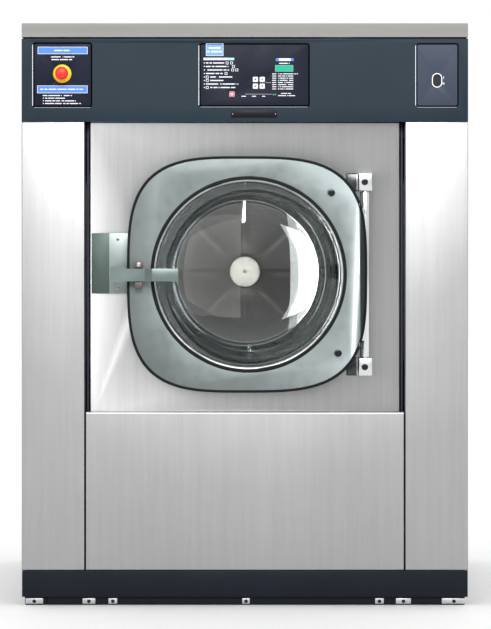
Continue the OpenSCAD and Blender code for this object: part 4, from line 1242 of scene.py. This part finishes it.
class LAUNDRY_OT_suspension(bpy.types.Operator):
    """Coil springs and dampers under the cradle"""
    bl_idname = "laundry.suspension"
    bl_label = "Suspension"

    def execute(self, context):
        red = painted("Spring enamel", (0.32, 0.04, 0.025), 0.3, size=600)
        coils = islands("suspension_springs")
        turns, steps, sides, wire = 7, 24, 12, 0.0066
        parts = []
        for lo, hi in coils:
            radius = (hi[0] - lo[0]) / 2 - wire - 0.0002
            t = np.linspace(0, 1, turns * steps + 1)[:, None]
            a = 2 * np.pi * turns * t
            level = np.clip((t - 0.1) / 0.8, 0, 1)
            rise = lo[2] + wire + (hi[2] - lo[2] - 2 * wire) * (0.08 * t + 0.92 * level)
            b = np.linspace(0, 2 * np.pi, sides, endpoint=False)[None]
            r = radius + wire * np.cos(b)
            mx, my = (lo[0] + hi[0]) / 2, (lo[1] + hi[1]) / 2
            rings = np.stack([mx + r * np.cos(a), my + r * np.sin(a), rise + wire * np.sin(b)], -1)
            parts.append(skin(rings, caps=True))
        obj = piece("coil_springs", "cabinet", red, SLOT_OF["suspension_springs"], *parts,
                    replaces=("suspension_springs",), smooth=60)
        lo, hi = coils[0]
        blend_upwards(obj)
        dress(painted("Damper paint", (0.025, 0.03, 0.035), 0.4), "damper_tubes", edge=0.0015)
        dress(satin("Damper rod", (0.6, 0.6, 0.6), 0.2), "damper_rods", edge=0.001)
        return {"FINISHED"}


# Rear

class LAUNDRY_OT_services(bpy.types.Operator):
    """Drain, inlets, vent, cable gland, controls behind the fascia, louvres and small screws"""
    bl_idname = "laundry.services"
    bl_label = "Services and rear"

    def execute(self, context):
        s = settings().covers
        drain = satin("Drain metal", (0.30, 0.32, 0.33), 0.38)
        brass = satin("Inlet brass", (0.55, 0.42, 0.19), 0.3)
        black = moulded("Black fitting", (0.02, 0.02, 0.022), 0.4)
        dress(drain, "drain_pipe", "drain_disc", edge=0.0008)
        dress(black, "rear_fittings", edge=0.0012)
        dress(brass, "inlet_valves", edge=0.0008)
        dress(painted("Circuit board", (0.02, 0.12, 0.05), 0.5, size=300), "control_unit",
              edge=0.0005)
        self.threads(brass)
        self.small_screws(s)
        self.louvres(s)
        return {"FINISHED"}

    def threads(self, brass):
        """Thread on each water inlet: a saw-edged sleeve turned about the inlet's axis."""
        parts, pitch = [], 0.0018
        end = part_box("inlet_valves")[1].y
        y = np.arange(end - 0.020, end - 0.002, pitch / 2)
        saw = np.where(np.arange(len(y)) % 2, 0.0009, 0.0001)
        for mount in frame["record"]["mounts"]:
            if not mount["name"].startswith("water_inlet"):
                continue
            x, _, z = mount["pos_m"]
            r = mount["dims"]["r_mm"] * MM
            bore = [[r - 0.002, y[-1]], [r - 0.002, y[0]]]
            parts.append(turn(np.concatenate([np.stack([r + saw, y], 1), bore]), x, z, 48))
        piece("inlet_threads", "cabinet", brass, SLOT_OF["inlet_valves"], *parts)

    def small_screws(self, s):
        """Cap screws along the edges of the rear panel, its cover and the side panels."""
        steel = satin("Panel screw", (0.45, 0.46, 0.46), 0.3)
        low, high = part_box("rear_panel")
        back, r = high.y, s.screw_r
        sheet = back - 0.003
        drum_z = JOINTS["drum_spin"]["pos_m"][2]
        rows = np.linspace(low.z + 0.04, high.z - 0.04, 7)
        spots = [(side * (high.x - 0.018), z, sheet) for side in (-1, 1) for z in rows]
        spots += [(side * 0.345, drum_z + dz, back) for side in (-1, 1)
                  for dz in np.linspace(-0.31, 0.31, 4)]
        spots += [(dx, drum_z + side * 0.315, back) for side in (-1, 1) for dx in (-0.115, 0.115)]
        parts = [rotated(socket_screw(x, z, -y - 0.002, r, 0.0024), (x, 0, z), 2, math.pi)
                 for x, z, y in spots]
        side_low, side_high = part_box("side_panels")
        edge = side_high.x
        for side in (-1, 1):
            for y in (side_low.y + 0.02, side_high.y - 0.02):
                for z in np.linspace(side_low.z + 0.05, side_high.z - 0.05, 5):
                    flat = socket_screw(0.0, z, -edge - 0.0018, r, 0.0022)
                    points, faces = rotated(flat, (0, 0, z), 2, math.pi / 2 * side)
                    parts.append((points + np.array([0, y, 0]), faces))
        piece("panel_screws", "cabinet", steel, SLOT_OF["rear_panel"], *parts)

    def louvres(self, s):
        """Pressed cooling slots at each side of the rear panel: half tubes that close onto it."""
        steel = brushed("Louvre steel", s.steel, 0.36)
        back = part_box("rear_panel")[1].y - 0.003
        half_length, half_height, bulge, pitch = 0.07, 0.009, 0.0075, 0.028
        t, u = np.linspace(0, np.pi, 9)[None], np.linspace(-1, 1, 17)[:, None]
        swell = np.sqrt(np.clip(1 - np.abs(u) ** 6, 0, 1))
        y = back + bulge * swell * np.sin(t) - 0.0002
        rise = half_height * np.cos(t) * (0.25 + 0.75 * swell)
        parts = [skin(np.stack([x + half_length * u + 0 * t, y, z + rise], -1), caps=True)
                 for x in (-0.48, 0.48) for z in 0.62 + pitch * np.arange(8)]
        piece("rear_louvres", "cabinet", steel, SLOT_OF["rear_panel"], *parts)


# Stage

class LAUNDRY_OT_stage(bpy.types.Operator):
    """Pale floor, soft lights and the camera"""
    bl_idname = "laundry.stage"
    bl_label = "Stage"

    def execute(self, context):
        s = settings().stage
        scene = context.scene
        scene.view_settings.view_transform = "Standard"
        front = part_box("front_columns")[0].y
        data = bpy.data.cameras.new("Camera")
        data.lens, data.sensor_width, data.sensor_fit = s.lens, 36.0, "AUTO"
        data.shift_x, data.shift_y = 0.001, -0.066
        data.clip_end = 100.0
        camera = put("Camera", data)
        camera.location = (0.0, front - s.distance, s.height)
        camera.rotation_euler = (math.pi / 2, 0.0, 0.0)
        scene.camera = camera
        self.floor(s)
        self.sky(scene)
        self.lights(front)
        return {"FINISHED"}

    def floor(self, s):
        """A large flat disc under the machine."""
        a = np.linspace(0, 2 * np.pi, 128, endpoint=False)
        r = np.array([0.01, 3.0, 9.0, 30.0])[:, None]
        mesh = mesh_of("floor", *skin(
            np.stack([r * np.cos(a), r * np.sin(a), -0.0005 + 0 * r * a], -1)))
        floor = put("floor", mesh)
        f = Finish("Pale floor", s.floor, 0.6)
        f.tint(f.noise(3, 3.0), 0.99, 1.01)
        mesh.materials.append(f.material)

    def sky(self, scene):
        """White behind the machine, and an even light that is brighter from above."""
        world = bpy.data.worlds.new("Studio")
        world.use_nodes = True
        scene.world = world
        tree = world.node_tree
        background = tree.nodes["Background"]
        seen = tree.nodes.new("ShaderNodeBackground")
        for each in (background, seen):
            each.inputs[0].default_value = (1, 1, 1, 1)
        coords = tree.nodes.new("ShaderNodeTexCoord")
        split = tree.nodes.new("ShaderNodeSeparateXYZ")
        ramp = tree.nodes.new("ShaderNodeMapRange")
        for socket, value in zip(ramp.inputs[1:5], (-0.1, 1.0, 0.50, 1.5)):
            socket.default_value = value
        path = tree.nodes.new("ShaderNodeLightPath")
        mix = tree.nodes.new("ShaderNodeMixShader")
        for source, target in ((coords.outputs["Generated"], split.inputs[0]),
                               (split.outputs[2], ramp.inputs[0]),
                               (ramp.outputs[0], background.inputs[1]),
                               (path.outputs["Is Camera Ray"], mix.inputs[0]),
                               (background.outputs[0], mix.inputs[1]),
                               (seen.outputs[0], mix.inputs[2]),
                               (mix.outputs[0], tree.nodes["World Output"].inputs[0])):
            tree.links.new(source, target)

    def lamp(self, name, place, target, size, power, only=(), never=()):
        """A rectangular soft light that faces a point, and may light only some pieces, or all but
        some."""
        data = bpy.data.lights.new(name, "AREA")
        data.shape, data.size, data.size_y, data.energy = "RECTANGLE", *size, power
        lamp = put(name, data)
        lamp.location = place
        aim = np.asarray(target, float) - np.asarray(place, float)
        lamp.rotation_euler = Vector(aim).to_track_quat("-Z", "Y").to_euler()
        if only or never:
            group = bpy.data.collections.new(name + " receivers")
            for n in (*only, *never):
                group.objects.link(bpy.data.objects[n])
            for link in group.collection_objects if never else ():
                link.light_linking.link_state = "EXCLUDE"
            lamp.light_linking.receiver_collection = group
        return lamp

    def lights(self, front):
        """A high main lamp for the covers, and small ones that each light a single piece."""
        glass, panel, door = "glass_bowl", "centre_panel_eased", "door_frame_eased"
        self.lamp("Key", (0.0, front - 4.2, 3.6), (0, front, 1.1), (3.2, 1.6), 300,
                  never=(glass, panel, "top_panel_eased", "floor"))
        self.lamp("Panel left", (-1.15, front - 1.1, 0.95), (-0.4, front, 0.9), (0.6, 1.3), 34,
                  only=(panel,))
        self.lamp("Frame right", (1.15, front - 1.1, 0.9), (0.25, front, 0.9), (0.5, 1.4), 90,
                  only=(door,))
        self.lamp("Drum front", (0.0, front - 7.0, 1.1), (0, 0, 0.9), (0.9, 0.3), 10,
                  only=("turned_hub_cap",))
        self.lamp("Drum low", (-0.03, front - 3.0, 0.15), (0, 0, 0.8), (0.15, 0.15), 14,
                  only=("drum_back_pressing",))
        for name, left, right, power in (("inner", -0.64, -0.53, 5), ("middle", -0.78, -0.64, 13),
                                         ("outer", -1.41, -0.78, 110)):
            x, z = (left + right) / 2, 0.865
            self.lamp("Bowl card " + name, (x, front - 1.5, z), (x, front, z), (right - left, 1.53),
                      power, only=(glass,))
        warm = self.lamp("Bowl wall", (0.62, front - 1.5, 0.80), (0.62, front, 0.80), (1.1, 1.3), 6,
                         only=(glass,))
        warm.data.color = (1.0, 0.93, 0.86)
        self.lamp("Bowl tube", (0.03, front - 1.2, 0.24), (0.03, front, 0.24), (0.024, 0.34), 3.0,
                  only=(glass,))


# Panel and registration

STEPS = (LAUNDRY_OT_covers, LAUNDRY_OT_base, LAUNDRY_OT_plates, LAUNDRY_OT_stop_button,
         LAUNDRY_OT_keys, LAUNDRY_OT_rocker, LAUNDRY_OT_door_frame, LAUNDRY_OT_glass,
         LAUNDRY_OT_handle, LAUNDRY_OT_hinge, LAUNDRY_OT_drum, LAUNDRY_OT_tub, LAUNDRY_OT_drive,
         LAUNDRY_OT_suspension, LAUNDRY_OT_services, LAUNDRY_OT_stage)
GROUPS = (CoverSettings, DoorSettings, ControlSettings, DrumSettings, StageSettings,
          LaundrySettings)


class LAUNDRY_PT_sidebar(bpy.types.Panel):
    """Sizes, colours and building steps of the machine's looks"""
    bl_idname = "LAUNDRY_PT_sidebar"
    bl_label = "Laundry machine"
    bl_space_type = "VIEW_3D"
    bl_region_type = "UI"
    bl_category = "Laundry"

    def draw(self, context):
        for group in ("covers", "door", "controls", "drum", "stage"):
            values = getattr(context.scene.laundry, group)
            box = self.layout.box()
            box.label(text=group.title())
            for key in values.__annotations__:
                box.prop(values, key)
        for step in STEPS:
            self.layout.operator(step.bl_idname)


def register():
    for cls in (*GROUPS, *STEPS, LAUNDRY_PT_sidebar):
        bpy.utils.register_class(cls)
    bpy.types.Scene.laundry = PointerProperty(type=LaundrySettings, name="Laundry machine",
                                              description="Sizes and colours")


def unregister():
    del bpy.types.Scene.laundry
    for cls in reversed((*GROUPS, *STEPS, LAUNDRY_PT_sidebar)):
        bpy.utils.unregister_class(cls)


def main():
    register()
    for step in STEPS:
        group, name = step.bl_idname.split(".")
        getattr(getattr(bpy.ops, group), name)()


if __name__ == "__main__":
    main()
